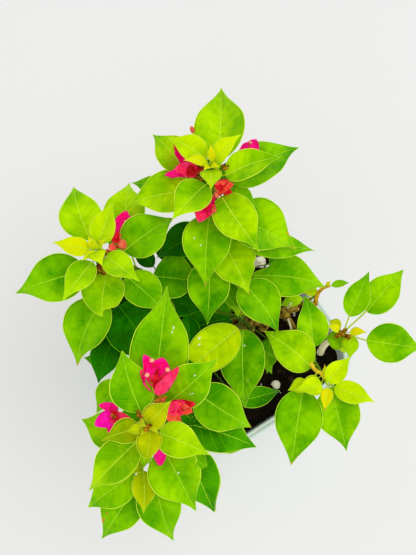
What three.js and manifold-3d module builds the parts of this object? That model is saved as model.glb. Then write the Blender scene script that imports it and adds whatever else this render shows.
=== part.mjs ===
// A young bougainvillea bush in its pot, in millimetres, Z up.
// The origin is the centre of the pot's flat underside, and the pot's sides lie along X and Y.
import * as THREE from "three";
import { mergeVertices } from "three/addons/utils/BufferGeometryUtils.js";
import Module from "manifold-3d";

const wasm = await Module();
wasm.setup();

// Pot: a rounded square, narrower at its foot, with a stepped lip
const potHeight = 140;
const rimHalf = 86;
const footHalf = 69;
const rimCorner = 30;
const footCorner = 22;
const wall = 4;
const lipDepth = 13;
const lipWidth = 7;
const lipOut = 2.4;
const lipStep = 1;
const edge = 1.5;
const floorThick = 5;
const cornerSteps = 6;
// How much of an inset a ring's corner radius loses
const cornerInset = 0.8;

// Soil: fills the pot to a little under the rim
const soilTop = 122;
const soilDip = 2.5;
const soilCrown = 0.93;

// Everything that touches keeps this much clear of its neighbour
const clear = 0.3;

// The plant is set askew in its pot, turned by this angle about the upright
const plantTurn = -32;

// Leaves: shape as shares of the blade's length. The outline's two powers round its root and draw out its tip.
const leafThick = 0.022;
const leafFold = 0.16;
const leafArch = 0.055;
const leafRoll = 16;
const leafWidth = { first: 0.5, gain: 0.02, most: 0.62 };
const rootPower = 0.55;
const tipPower = 1.2;
const bladeRows = [0.1, 0.38, 0.7, 1];
const petioleShare = 0.26;
const petioleLift = 24;
const petioleRadius = 0.85;

// The spiral: angle from leaf to leaf, and how far each leaf strays from the rule
const goldenAngle = 137.5;
const spiral = { stray: 24, least: 0.86, spread: 0.28, droop: 6, moreDroop: 14 };

// Blossoms: angles in degrees, and a bract's width as a share of its length
const blossomLift = 22;
const blossomTilt = 62;
const bractWidth = 0.8;
const bractTurn = 40;
const bractRows = [0, 0.3, 0.65, 1];
const tubeRadius = 0.9;
const tubeReach = 0.75;
const stalkRadius = 0.6;
const stalkReach = 0.12;

// Space kept to the leaves and limbs of other masses, and by a leaf of the spiral rule to its own mass.
// Where it is too tight, such a leaf is tried smaller and then left out.
const leafSpace = 7;
const ownSpace = 4;
const smallerSizes = [1, 0.8, 0.62];
const potSpace = { side: 4, rim: 5, ground: 25 };
const sampleRows = 7;
const sampleStep = 5;

// Woody limbs: a route in millimetres from the plant's middle, and radii from root to tip.
// The two that rise from the soil start a little under it and are cut level with it.
const underSoil = soilTop - 4;
const trunkRoute = [[5, 17.5, underSoil], [3, 15, 140], [-1, 10, 156], [1, 9, 171]];
const boughs = [
  { name: "bough_back", route: [[1, 9, 164], [-2, 22, 186], [-9, 40, 212]], radii: [4.4, 2.7] },
  { name: "bough_left", route: [[1, 9, 160], [-17, 13, 182], [-38, 22, 208]], radii: [4.2, 2.5] },
  { name: "bough_front", route: [[1, 9, 166], [-10, -12, 184], [-28, -35, 204]], radii: [4.4, 2.7] },
  { name: "bough_right", route: [[1, 9, 162], [20, 17, 167], [38, 19, 174], [51, 21, 181]], radii: [4.6, 3.4] },
  { name: "bough_right_front", route: [[37, 19, 174], [43, 6, 183], [46, -8, 194]], radii: [2.9, 2.2] },
];
const cornerStem = {
  name: "stem_corner",
  route: [[80, -11, underSoil], [79, -9, 145], [81, -8, 172], [84, -7, 186]],
  radii: [3.6, 2.2],
};

const limbSteps = 10;
const twigSteps = 5;
const twigSides = 6;

// The trunk's radius: at its waist, what it loses to the tip, the root flare with its lobes, and the knot
const trunkShape = { waist: 6.2, loss: 1.2, flare: 6.5, fade: 9, lobes: 0.3, knot: 2, knotAt: 0.9, knotLength: 0.14 };

// Masses of foliage: each is one stem, some with side twigs. A leaf's row is its bearing, blade length,
// rise and drop below the tip, youngest first. Below the rows the spiral goes on by itself for the
// leaves that more counts, step apart. A blossom's row is its bearing, distance from the stem, drop,
// bract length and opening angle.
const masses = [
  {
    name: "foliage_front",
    twigs: [
      {
        route: [[-28, -35, 204], [-52, -67, 240], [-67, -90, 290], [-71, -95, 335]],
        radii: [2.7, 1.1],
        leaves: [
          [239, 10, 55, 0], [193, 15, 40, 1], [274, 25, 30, 3], [43, 28, 40, 5], [200, 29, 20, 8],
          [338, 40, 15, 11], [107, 47, 12, 15], [39, 50, 6, 19], [85, 74, 6, 23], [228, 47, 0, 28],
          [300, 52, 0, 33], [171, 46, -4, 39], [350, 56, -6, 62], [292, 56, -16, 56], [331, 54, -5, 66],
          [210, 50, -14, 88], [255, 50, -16, 104], [97, 50, -14, 142],
        ],
        more: 5,
        step: 10,
        size: 54,
        blossoms: [[77, 35, 9, 19, 50], [166, 26, 10, 18, 40], [27, 25, 8, 18, 24], [288, 20, 14, 15, 30]],
      },
      {
        route: [[-58, -77, 278], [-70, -102, 286], [-79, -120, 302]],
        radii: [1.5, 1],
        leaves: [
          [150, 13, 35, 0], [20, 15, 25, 1], [270, 29, 5, 3], [214, 42, -4, 7], [291, 52, -8, 11],
          [240, 54, -12, 16], [180, 40, -10, 22],
        ],
        more: 0,
        step: 8,
        size: 46,
        blossoms: [],
      },
    ],
  },
  {
    name: "foliage_back",
    twigs: [
      {
        route: [[-9, 40, 212], [-17, 48, 240], [-25, 78, 286], [-30, 98, 322]],
        radii: [2.7, 1.1],
        leaves: [
          [97, 14, 60, 0], [184, 23, 35, 1], [36, 29, 38, 3], [269, 28, 40, 5], [163, 36, 22, 8],
          [12, 47, 14, 11], [231, 42, 10, 14], [84, 62, 4, 17], [306, 54, 0, 21], [140, 53, 2, 26],
          [29, 63, -2, 29], [190, 56, -2, 31], [267, 58, -8, 36], [323, 60, -6, 46], [298, 56, -12, 58],
          [263, 56, -8, 70], [306, 68, -6, 80], [350, 68, 0, 100], [337, 62, -10, 54], [110, 50, -10, 52],
          [150, 52, -14, 66], [204, 46, -10, 62], [20, 54, -14, 110],
        ],
        more: 6,
        step: 8,
        size: 54,
        blossoms: [[190, 20, 8, 19, 24], [263, 30, 17, 16, 34], [306, 21, 9, 14, 26], [23, 29, 9, 18, 44],
          [119, 27, 8, 8, 10]],
      },
    ],
  },
  {
    name: "foliage_left",
    twigs: [
      {
        route: [[-38, 22, 208], [-72, 31, 238], [-104, 38, 272], [-114, 37, 302]],
        radii: [2.5, 1.1],
        leaves: [
          [20, 13, 60, 0], [169, 28, 22, 2], [67, 35, 26, 4], [327, 38, 18, 7], [239, 40, 14, 10],
          [114, 50, 6, 14], [265, 42, 0, 18], [37, 50, 0, 22], [205, 62, 0, 26], [318, 48, -5, 31],
          [88, 56, 0, 35], [242, 65, -10, 39], [354, 52, -6, 66], [110, 48, -8, 52], [270, 46, -14, 76],
          [30, 46, -14, 88], [282, 46, -4, 58], [244, 56, -14, 86], [216, 50, -16, 98],
        ],
        more: 5,
        step: 9,
        size: 52,
        blossoms: [[46, 25, 8, 18, 34], [22, 17, 9, 10, 16], [5, 19, 12, 9, 14]],
      },
      {
        route: [[-82, 33, 247], [-94, 4, 240], [-104, -31, 252]],
        radii: [1.4, 0.9],
        leaves: [
          [190, 34, 0, 0], [60, 26, 10, 2], [236, 38, -6, 5], [330, 44, -4, 9], [252, 54, -10, 14],
          [130, 44, -6, 20],
        ],
        more: 2,
        step: 8,
        size: 44,
        blossoms: [],
      },
    ],
  },
  {
    name: "foliage_right",
    twigs: [
      {
        route: [[46, -8, 194], [54, -24, 208], [61, -42, 220], [64, -53, 232]],
        radii: [2.1, 1],
        leaves: [
          [120, 9, 70, 0], [257, 23, 30, 3], [38, 31, 22, 4], [197, 28, 22, 5], [338, 38, 10, 9],
          [215, 20, 0, 8], [253, 64, -3, 15], [284, 59, -5, 18], [143, 51, 8, 22], [97, 47, 12, 27],
        ],
        more: 3,
        step: 7,
        size: 34,
        blossoms: [],
      },
    ],
  },
  {
    name: "foliage_corner",
    stalks: 0.44,
    twigs: [
      {
        route: [[84, -7, 186], [86, -6.5, 195], [88, -6, 204]],
        radii: [2, 1.1],
        leaves: [
          [166, 14, 35, 0], [356, 15, 30, 1], [65, 42, 24, 2], [47, 51, 16, 3], [347, 48, 4, 5],
          [276, 23, 8, 6], [225, 28, -5, 8], [120, 28, 0, 10],
        ],
        more: 2,
        step: 3,
        size: 24,
        blossoms: [],
      },
    ],
  },
  {
    name: "foliage_middle",
    twigs: [
      {
        route: [[0, 8, 175], [-2, 5, 200], [-5, 1, 234]],
        radii: [2.2, 1.1],
        leaves: [
          [150, 14, 50, 0], [30, 16, 40, 2], [215, 67, 2, 5], [271, 68, -6, 8], [120, 34, 0, 14],
          [330, 36, -4, 26], [172, 40, 2, 14], [302, 52, -12, 20],
        ],
        more: 5,
        step: 6,
        size: 40,
        blossoms: [],
      },
    ],
  },
  {
    name: "foliage_edge",
    twigs: [
      {
        route: [[49, 20.6, 180], [64, 29, 186], [78, 40, 193]],
        radii: [1.5, 0.8],
        leaves: [[40, 10, 40, 0], [5, 21, 0, 2], [160, 24, 10, 6], [300, 22, -10, 10]],
        more: 2,
        step: 7,
        size: 24,
        blossoms: [],
      },
    ],
  },
];

const rad = THREE.MathUtils.degToRad;
const up = new THREE.Vector3(0, 0, 1);

// A fixed number between 0 and 1 for each whole number
function wobble(seed) {
  const wave = Math.sin(seed * 12.9898) * 43758.5453;
  return wave - Math.floor(wave);
}

// Direction at a bearing and a rise, in degrees
function heading(bearing, rise) {
  const flat = Math.cos(rad(rise));
  return new THREE.Vector3(flat * Math.cos(rad(bearing)), flat * Math.sin(rad(bearing)), Math.sin(rad(rise)));
}

function curveThrough(route) {
  return new THREE.CatmullRomCurve3(route.map((point) => new THREE.Vector3(...point)), false, "catmullrom");
}

// Where a leaf or blossom leaves its twig: a length in millimetres before the end, and never at the very root
function nodeBelow(curve, drop) {
  return curve.getPointAt(Math.max(0.03, 1 - (drop + 1) / curve.getLength()));
}

// Turns any closed geometry into one with shared corners and faces that point out
function closed(geometry) {
  geometry.deleteAttribute("normal");
  geometry.deleteAttribute("uv");
  const merged = mergeVertices(geometry, 1e-5);
  const index = merged.index.array;
  const corners = [0, 1, 2].map(() => new THREE.Vector3());
  let volume = 0;
  for (let i = 0; i < index.length; i += 3) {
    corners.forEach((corner, k) => corner.fromBufferAttribute(merged.attributes.position, index[i + k]));
    volume += corners[0].dot(corners[1].clone().cross(corners[2]));
  }
  if (volume < 0) {
    for (let i = 0; i < index.length; i += 3) [index[i], index[i + 1]] = [index[i + 1], index[i]];
  }
  return merged;
}

// Moves every point of a blank, where place gives the real place of a blank's point
function reshaped(blank, place) {
  blank.deleteAttribute("normal");
  blank.deleteAttribute("uv");
  const geometry = mergeVertices(blank, 1e-5);
  const position = geometry.attributes.position;
  const point = new THREE.Vector3();
  for (let i = 0; i < position.count; i++) {
    point.fromBufferAttribute(position, i);
    position.setXYZ(i, ...place(point).toArray());
  }
  return closed(geometry);
}

function toManifold(geometry) {
  return new wasm.Manifold(new wasm.Mesh({
    numProp: 3,
    vertProperties: new Float32Array(geometry.attributes.position.array),
    triVerts: new Uint32Array(geometry.index.array),
  }));
}

function toGeometry(solid) {
  const mesh = solid.getMesh();
  const geometry = new THREE.BufferGeometry();
  geometry.setAttribute("position", new THREE.BufferAttribute(new Float32Array(mesh.vertProperties), 3));
  geometry.setIndex(new THREE.BufferAttribute(new Uint32Array(mesh.triVerts), 1));
  return geometry;
}

// The largest of a solid's separate pieces, so that no loose scrap is left
function largestPiece(solid) {
  const pieces = solid.decompose().sort((a, b) => b.volume() - a.volume());
  return toGeometry(pieces[0]);
}

function fused(geometries) {
  return largestPiece(geometries.map(toManifold).reduce((sum, next) => sum.add(next)));
}

function cutBy(geometry, cutters) {
  return largestPiece(cutters.map(toManifold).reduce((rest, cutter) => rest.subtract(cutter), toManifold(geometry)));
}

// A tapering limb: a cylinder laid along a curve, with its radius from a function of the way along,
// and made larger all round by extra
function limb(curve, radiusAt, sides, steps, extra = 0) {
  const frames = curve.computeFrenetFrames(steps, false);
  return reshaped(new THREE.CylinderGeometry(1, 1, steps, sides, steps), (point) => {
    const step = Math.round(point.y + steps / 2);
    const share = step / steps;
    const radius = extra + radiusAt(share, Math.atan2(point.z, point.x));
    const centre = curve.getPointAt(share);
    if (step === 0) centre.addScaledVector(frames.tangents[step], -extra);
    if (step === steps) centre.addScaledVector(frames.tangents[step], extra);
    centre.addScaledVector(frames.normals[step], point.x * radius);
    return centre.addScaledVector(frames.binormals[step], point.z * radius);
  });
}

function taper([root, tip]) {
  return (share) => root + (tip - root) * share;
}

// A long flat shape through stations: a sphere with four sides, whose rings are moved to the stations.
// A station gives a point from two numbers, -1 to 1 across and -1 to 1 from underside to top.
function loft(stations) {
  const last = stations.length - 1;
  const sign = (value) => (Math.abs(value) > 1e-3 ? Math.sign(value) : 0);
  return reshaped(new THREE.SphereGeometry(1, 4, last), (point) => {
    const row = Math.round((last * Math.acos(THREE.MathUtils.clamp(point.y, -1, 1))) / Math.PI);
    return stations[row](sign(point.x), sign(point.z));
  });
}

// A closed skin through rings of points, each end closed by a fan
function ringSolid(rings) {
  const count = rings[0].length;
  const points = rings.flat();
  const index = [];
  for (let ring = 0; ring + 1 < rings.length; ring++) {
    for (let i = 0; i < count; i++) {
      const [a, b] = [ring * count + i, ring * count + ((i + 1) % count)];
      index.push(a, b, b + count, a, b + count, a + count);
    }
  }
  [0, rings.length - 1].forEach((ring, end) => {
    const hub = rings[ring].reduce((sum, point) => sum.add(point), new THREE.Vector3()).divideScalar(count);
    points.push(hub);
    for (let i = 0; i < count; i++) {
      const [a, b] = [ring * count + i, ring * count + ((i + 1) % count)];
      index.push(...(end ? [a, b, points.length - 1] : [b, a, points.length - 1]));
    }
  });
  const geometry = new THREE.BufferGeometry();
  geometry.setAttribute("position", new THREE.Float32BufferAttribute(points.flatMap((p) => p.toArray()), 3));
  geometry.setIndex(index);
  return closed(geometry);
}

// Half width of the pot's outer face at a height
function outerHalf(z) {
  return footHalf + ((rimHalf - lipOut - footHalf) * z) / potHeight;
}

// A rounded square of the pot at a height, shrunk evenly by share
function potRing(half, z, share = 1) {
  const corner = footCorner + ((rimCorner - footCorner) * z) / potHeight - (outerHalf(z) - half) * cornerInset;
  const points = [];
  for (let side = 0; side < 4; side++) {
    const middle = heading(45 + 90 * side, 0).multiplyScalar(Math.SQRT2 * (half - corner));
    for (let step = 0; step <= cornerSteps; step++) {
      const onArc = heading(90 * side + (90 * step) / cornerSteps, 0).multiplyScalar(corner);
      points.push(onArc.add(middle).multiplyScalar(share).setZ(z));
    }
  }
  return points;
}

function potSolid() {
  const lipFoot = potHeight - lipDepth;
  return ringSolid([
    potRing(footHalf - edge, 0),
    potRing(outerHalf(edge), edge),
    potRing(outerHalf(lipFoot), lipFoot),
    potRing(outerHalf(lipFoot) + lipOut, lipFoot + lipStep),
    potRing(rimHalf, potHeight - edge),
    potRing(rimHalf - edge, potHeight),
    potRing(rimHalf - lipWidth + edge, potHeight),
    potRing(rimHalf - lipWidth, potHeight - edge),
    potRing(outerHalf(soilTop) - wall, soilTop),
    potRing(outerHalf(floorThick) - wall, floorThick),
  ]);
}

// The soil lies level, and is a little sunk along the wall
function soilSolid() {
  const inside = (z) => outerHalf(z) - wall - clear;
  const bottom = floorThick + clear;
  const edgeTop = soilTop - soilDip;
  return ringSolid([
    potRing(inside(bottom), bottom),
    potRing(inside(edgeTop), edgeTop),
    potRing(inside(soilTop), soilTop, soilCrown),
  ]);
}

// The trunk spreads into lobes where the roots begin and swells into a knot at the fork
function trunkRadius(share, angle) {
  const { waist, loss, flare, fade, lobes, knot, knotAt, knotLength } = trunkShape;
  const spread = flare * Math.exp(-share * fade) * (1 + lobes * Math.cos(3 * angle + 1));
  const swelling = knot * Math.exp(-Math.pow((share - knotAt) / knotLength, 2));
  return waist - loss * share + spread + swelling;
}

// Half width of a blade at a share of its length, from 0 to 1 where it is widest
function outline(share) {
  const bulge = (at) => Math.pow(at, rootPower) * Math.pow(1 - at, tipPower);
  return bulge(share) / bulge(rootPower / (rootPower + tipPower));
}

// The rule that places a leaf: where its stalk leaves the stem, where the blade starts, and its axes
function leafPlace(curve, order, stalks, [bearing, length, rise, drop]) {
  const node = nodeBelow(curve, drop);
  const root = node.clone().addScaledVector(heading(bearing, rise + petioleLift), stalks * length);
  const along = heading(bearing, rise);
  const roll = rad(leafRoll * (wobble(order * 7 + bearing) - 0.5));
  const side = new THREE.Vector3().crossVectors(along, up).normalize().applyAxisAngle(along, roll);
  const normal = new THREE.Vector3().crossVectors(side, along);
  const width = length * Math.min(leafWidth.most, leafWidth.first + leafWidth.gain * order);
  return { node, root, along, side, normal, length, width };
}

// A point of a blade: share along it, across from -1 to 1, and height above its middle surface
function bladePoint(leaf, share, across, height) {
  const half = 0.5 * leaf.width * outline(share);
  const lift = leafArch * 4 * share * (1 - share) * leaf.length + leafFold * half * Math.abs(across) + height;
  return leaf.root.clone()
    .addScaledVector(leaf.along, leaf.length * share)
    .addScaledVector(leaf.side, half * across)
    .addScaledVector(leaf.normal, lift);
}

function bladeStation(leaf, share) {
  return (across, top) => bladePoint(leaf, share, across, top * 0.5 * leafThick * leaf.length);
}

// A leaf: its stalk starts inside the stem, and the blade has a sharp margin and is thickest at the midrib
function leafSolid(leaf) {
  const radius = petioleRadius * Math.min(1, 0.45 + leaf.length / 70);
  const stalkStation = (centre) => (across, top) => centre.clone()
    .addScaledVector(leaf.side, across * radius)
    .addScaledVector(leaf.normal, top * radius);
  const heel = leaf.node.clone().addScaledVector(leaf.along, -radius);
  return loft([
    () => heel,
    stalkStation(leaf.node),
    stalkStation(leaf.root),
    ...bladeRows.map((share) => bladeStation(leaf, share)),
  ]);
}

// A blossom: three papery bracts round a tube, on a thin stalk
function blossomPlace(curve, order, [bearing, distance, drop, size, opening]) {
  const node = nodeBelow(curve, drop);
  const root = node.clone().addScaledVector(heading(bearing, blossomLift), distance);
  const axis = heading(bearing, blossomTilt);
  const side = new THREE.Vector3().crossVectors(axis, up).normalize();
  const bracts = [0, 1, 2].map((k) => {
    const around = side.clone().applyAxisAngle(axis, rad(120 * k + bractTurn * order));
    const along = axis.clone().applyAxisAngle(around, rad(-opening));
    const normal = new THREE.Vector3().crossVectors(around, along);
    return { root, along, side: around, normal, length: size, width: size * bractWidth };
  });
  return { node, root, axis, size, bracts };
}

function blossomSolids({ node, root, axis, size, bracts }) {
  const rod = (from, to, radius) => limb(new THREE.LineCurve3(from, to), () => radius, 3, 1);
  const inside = root.clone().addScaledVector(axis, stalkReach * size);
  const mouth = root.clone().addScaledVector(axis, tubeReach * size);
  const blades = bracts.map((bract) => loft(bractRows.map((share) => bladeStation(bract, share))));
  return [rod(node, inside, stalkRadius), rod(root, mouth, tubeRadius), ...blades];
}

// Points spread over a blade, close enough together that nothing passes between them unseen
function bladeSamples(leaf) {
  const samples = [];
  for (let row = 0; row <= sampleRows; row++) {
    [-1, -0.5, 0, 0.5, 1].forEach((across) => samples.push(bladePoint(leaf, row / sampleRows, across, 0)));
  }
  return samples;
}

function limbSamples(curve) {
  const count = Math.ceil(curve.getLength() / sampleStep);
  return Array.from({ length: count + 1 }, (_, i) => curve.getPointAt(i / count));
}

// Whether a point is in the pot or just over its rim, or too near the ground
function meetsPot(point) {
  const turned = point.clone().applyAxisAngle(up, rad(plantTurn));
  const far = Math.max(Math.abs(turned.x), Math.abs(turned.y));
  return (far < rimHalf + potSpace.side && point.z < potHeight + potSpace.rim) || point.z < potSpace.ground;
}

// The next leaf of a twig: one of its rows, and below them one that the spiral rule makes
function leafRow(twig, order, seed) {
  if (order < twig.leaves.length) return twig.leaves[order];
  const [bearing, , , drop] = twig.leaves[twig.leaves.length - 1];
  const below = order - twig.leaves.length + 1;
  return [
    bearing - goldenAngle * below + spiral.stray * (wobble(seed) - 0.5),
    twig.size * (spiral.least + spiral.spread * wobble(seed + 17)),
    -spiral.droop - spiral.moreDroop * wobble(seed + 29),
    drop + twig.step * below,
  ];
}

// Grows all masses together, from the tips down, and skips each leaf that comes too near another mass
function growMasses() {
  const woody = [trunkRoute, cornerStem.route, ...boughs.map((bough) => bough.route)]
    .flatMap((route) => limbSamples(curveThrough(route)));
  const grown = masses.map(({ name, twigs, stalks = petioleShare }) => {
    const shoots = twigs.map((twig) => {
      const curve = curveThrough(twig.route);
      const blossoms = twig.blossoms.map((row, order) => blossomPlace(curve, order, row));
      return { twig, curve, blossoms, leaves: [] };
    });
    const samples = shoots.flatMap(({ curve, blossoms }) => [
      ...limbSamples(curve),
      ...blossoms.flatMap(({ bracts }) => bracts.flatMap(bladeSamples)),
    ]);
    return { name, stalks, shoots, samples };
  });
  const counts = masses.flatMap(({ twigs }) => twigs.map((twig) => twig.leaves.length + twig.more));
  for (let order = 0; order < Math.max(...counts); order++) {
    grown.forEach((own, place) => own.shoots.forEach((shoot, branch) => {
      const listed = shoot.twig.leaves.length;
      if (order >= listed + shoot.twig.more) return;
      const [bearing, length, rise, drop] = leafRow(shoot.twig, order, place * 53 + branch * 23 + order);
      const others = grown.filter((other) => other !== own).flatMap((other) => other.samples);
      const isNear = (point) => meetsPot(point)
        || others.some((other) => other.distanceTo(point) < leafSpace)
        || woody.some((other) => other.distanceTo(point) < leafSpace)
        || (order >= listed && own.samples.some((other) => other.distanceTo(point) < ownSpace));
      const fitting = (order < listed ? [1] : smallerSizes)
        .map((size) => leafPlace(shoot.curve, order, own.stalks, [bearing, length * size, rise, drop]))
        .find((leaf) => !bladeSamples(leaf).some(isNear));
      if (!fitting) return;
      shoot.leaves.push(fitting);
      own.samples.push(...bladeSamples(fitting));
    }));
  }
  return grown;
}

// One mass: its stems, with every leaf and blossom fused on, cut clear of the limbs that carry it
function massSolid({ shoots }, carriers) {
  const whole = fused(shoots.flatMap(({ twig, curve, leaves, blossoms }, branch) => [
    limb(curve, taper(twig.radii), twigSides, branch ? twigSteps : limbSteps),
    ...leaves.map(leafSolid),
    ...blossoms.flatMap(blossomSolids),
  ]));
  return cutBy(whole, carriers);
}

function material(color, roughness) {
  return new THREE.MeshStandardMaterial({ color, roughness, metalness: 0 });
}

function named(name, geometry, look) {
  const mesh = new THREE.Mesh(geometry, look);
  mesh.name = name;
  return mesh;
}

const glaze = material("#a9d4c2", 0.25);
const earth = material("#241812", 1);
const bark = material("#7a5a3c", 0.9);
const leafGreen = material("#7cc41e", 0.55);

const plant = new THREE.Group();
plant.rotation.z = rad(plantTurn);

// What cuts the limbs level, a hair over the soil
const slabHeight = 20;
const slab = new THREE.BoxGeometry(2 * rimHalf, 2 * rimHalf, slabHeight);
const soilCut = closed(slab.translate(0, 0, soilTop + clear - slabHeight / 2));

// Each limb is cut clear of the soil and of the limbs placed before it
const carriers = [];
function addLimb(name, route, radiusAt, sides) {
  const curve = curveThrough(route);
  plant.add(named(name, cutBy(limb(curve, radiusAt, sides, limbSteps), [soilCut, ...carriers]), bark));
  carriers.push(limb(curve, radiusAt, sides, limbSteps, clear));
}
addLimb("trunk", trunkRoute, trunkRadius, 12);
boughs.forEach(({ name, route, radii }) => addLimb(name, route, taper(radii), 8));
addLimb(cornerStem.name, cornerStem.route, taper(cornerStem.radii), 8);
growMasses().forEach((mass) => plant.add(named(mass.name, massSolid(mass, carriers), leafGreen)));

const bush = new THREE.Group();
bush.add(named("pot", potSolid(), glaze));
bush.add(named("soil", soilSolid(), earth));
bush.add(plant);

export default bush;
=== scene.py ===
import bpy
import numpy as np
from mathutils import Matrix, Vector


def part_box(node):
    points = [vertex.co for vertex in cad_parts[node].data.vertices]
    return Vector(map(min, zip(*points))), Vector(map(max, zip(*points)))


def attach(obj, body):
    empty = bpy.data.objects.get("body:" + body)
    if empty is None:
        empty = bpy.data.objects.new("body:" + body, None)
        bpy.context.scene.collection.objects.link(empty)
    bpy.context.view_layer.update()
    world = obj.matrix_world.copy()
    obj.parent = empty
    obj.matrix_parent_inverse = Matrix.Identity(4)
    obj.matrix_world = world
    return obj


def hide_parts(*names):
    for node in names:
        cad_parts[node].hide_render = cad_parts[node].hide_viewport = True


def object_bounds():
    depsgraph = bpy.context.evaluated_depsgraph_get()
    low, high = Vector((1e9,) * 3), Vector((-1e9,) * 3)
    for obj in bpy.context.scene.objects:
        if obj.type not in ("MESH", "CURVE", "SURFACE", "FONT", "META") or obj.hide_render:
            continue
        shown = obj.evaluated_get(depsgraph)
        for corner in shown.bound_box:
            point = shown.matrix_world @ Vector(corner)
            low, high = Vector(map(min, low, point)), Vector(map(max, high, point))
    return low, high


# A young bougainvillea in its pot. Shapes are worked out in millimetres in the plant's own frame,
# turned against the pot, and put in place in metres at the very end.

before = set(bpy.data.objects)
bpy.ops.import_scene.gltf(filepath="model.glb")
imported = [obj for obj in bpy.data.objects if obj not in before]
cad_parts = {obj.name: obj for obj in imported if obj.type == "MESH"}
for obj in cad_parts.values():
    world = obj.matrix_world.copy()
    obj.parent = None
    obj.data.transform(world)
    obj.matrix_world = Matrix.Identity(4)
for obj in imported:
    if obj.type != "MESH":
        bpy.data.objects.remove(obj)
cadLow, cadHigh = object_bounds()
print("frame loaded:", len(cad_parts), "nodes")

massNodes = [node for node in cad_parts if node.startswith("foliage_")]
perMetre = 1000
millimetre = 0.001
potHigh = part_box("pot")[1]
potHeight = potHigh.z * perMetre
potHalf = potHigh.x * perMetre
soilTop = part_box("soil")[1].z * perMetre
upward = np.array([0.0, 0.0, 1.0])
rightward = np.array([1.0, 0.0, 0.0])

stageSet = {
    "cameraPlace": (-0.0893, -0.0823, 0.7618),
    "cameraAzimuth": -32,
    "cameraElevation": 74,
    "lens": 42,
    "sensorWidth": 36,
    "nearClip": 0.01,
    "floorHalf": 6.0,
    "floorColor": (0.835, 0.83, 0.82),
    "floorRoughness": 0.7,
    "skyColor": (1.0, 1.0, 1.0),
    "skyStrength": 0.78,
    "windowFrom": (1.6, -1.2, 5.0),
    "windowSize": 4.5,
    "windowPower": 92,
    "fillFrom": (-1.1, -0.9, 1.5),
    "fillSize": 1.2,
    "fillPower": 2,
}


def linked(name, data):
    # A new object in the scene
    made = bpy.data.objects.new(name, data)
    bpy.context.scene.collection.objects.link(made)
    return made


def lookAlong(thing, direction):
    # Turns a lamp or the camera to look along a direction, upright
    thing.rotation_mode = "QUATERNION"
    thing.rotation_quaternion = direction.to_track_quat("-Z", "Y")


def lookFrom(azimuth, elevation):
    # Unit vector from the object to the eye
    a, e = np.radians(azimuth), np.radians(elevation)
    return Vector((np.sin(a) * np.cos(e), -np.cos(a) * np.cos(e), np.sin(e)))


def softLight(name):
    # A square lamp that faces the middle of the plant
    lamp = bpy.data.lights.new(name, "AREA")
    lamp.size = stageSet[name + "Size"]
    lamp.energy = stageSet[name + "Power"]
    lampObject = linked(name, lamp)
    lampObject.location = stageSet[name + "From"]
    lookAlong(lampObject, (cadLow + cadHigh) / 2 - Vector(stageSet[name + "From"]))


def makeCamera():
    # The eye of the photo, nearly above the plant
    camera = bpy.data.cameras.new("photoCamera")
    camera.lens = stageSet["lens"]
    camera.sensor_width = stageSet["sensorWidth"]
    camera.clip_start = stageSet["nearClip"]
    cameraObject = linked("photoCamera", camera)
    cameraObject.location = stageSet["cameraPlace"]
    lookAlong(cameraObject, -lookFrom(stageSet["cameraAzimuth"], stageSet["cameraElevation"]))
    bpy.context.scene.camera = cameraObject


def plainFloor():
    # One pale square at the height of the ground
    half = stageSet["floorHalf"]
    corners = [(-half, -half, 0), (half, -half, 0), (half, half, 0), (-half, half, 0)]
    mesh = bpy.data.meshes.new("floor")
    mesh.from_pydata(corners, [], [(0, 1, 2, 3)])
    floor = linked("floor", mesh)
    material = bpy.data.materials.new("paleFloor")
    material.use_nodes = True
    shader = material.node_tree.nodes["Principled BSDF"]
    shader.inputs["Base Color"].default_value = (*stageSet["floorColor"], 1)
    shader.inputs["Roughness"].default_value = stageSet["floorRoughness"]
    mesh.materials.append(material)


def daylight():
    # An even sky, a window overhead and a weak fill from the left
    world = bpy.data.worlds.new("softDaylight")
    world.use_nodes = True
    sky = world.node_tree.nodes["Background"]
    sky.inputs["Color"].default_value = (*stageSet["skyColor"], 1)
    sky.inputs["Strength"].default_value = stageSet["skyStrength"]
    bpy.context.scene.world = world
    softLight("window")
    softLight("fill")


bpy.context.scene.view_settings.view_transform = "Standard"
makeCamera()
plainFloor()
daylight()
print("camera, floor and light are set")


# Small numbers and shapes
noiseShift = 17.3
noiseSteps = (1.71, 5.13, 9.37)
curveSteps = 201
leastLength = 1e-6


def wobble(seed):
    # A fixed number between 0 and 1: the fraction of sin(12.9898 seed) times 43758.5453
    wave = np.sin(np.asarray(seed, float) * 12.9898) * 43758.5453
    return wave - np.floor(wave)


def unit(vectors):
    # Vectors divided by their lengths
    return vectors / np.linalg.norm(vectors, axis=-1, keepdims=True)


def heading(bearing, rise):
    # Direction from a bearing and a rise in degrees
    b, r = np.radians(bearing), np.radians(rise)
    return np.stack([np.cos(r) * np.cos(b), np.cos(r) * np.sin(b), np.sin(r) + 0 * b], -1)


def turned(vector, axis, angle):
    # A vector turned about a unit axis, by Rodrigues' formula
    c, s = np.cos(angle), np.sin(angle)
    return vector * c + np.cross(axis, vector) * s + axis * np.dot(axis, vector) * (1 - c)


def smooth(value):
    # Rises from 0 to 1 as the value does, level at both ends
    x = np.clip(value, 0, 1)
    return x * x * (3 - 2 * x)


def noise(points, pitch, seed=0):
    # Value noise from -1 to 1: numbers on a lattice of that pitch, blended smoothly between its corners
    p = np.asarray(points, float) / pitch + noiseShift * seed
    cell = np.floor(p)
    share = smooth(p - cell)
    total = 0
    for corner in range(8):
        step = np.array([corner & 1, corner >> 1 & 1, corner >> 2 & 1])
        weight = np.prod(np.where(step, share, 1 - share), axis=-1)
        spot = (cell + step) * noiseSteps
        total = total + weight * wobble(spot[..., 0] + spot[..., 1] + spot[..., 2])
    return 2 * total - 1


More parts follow.
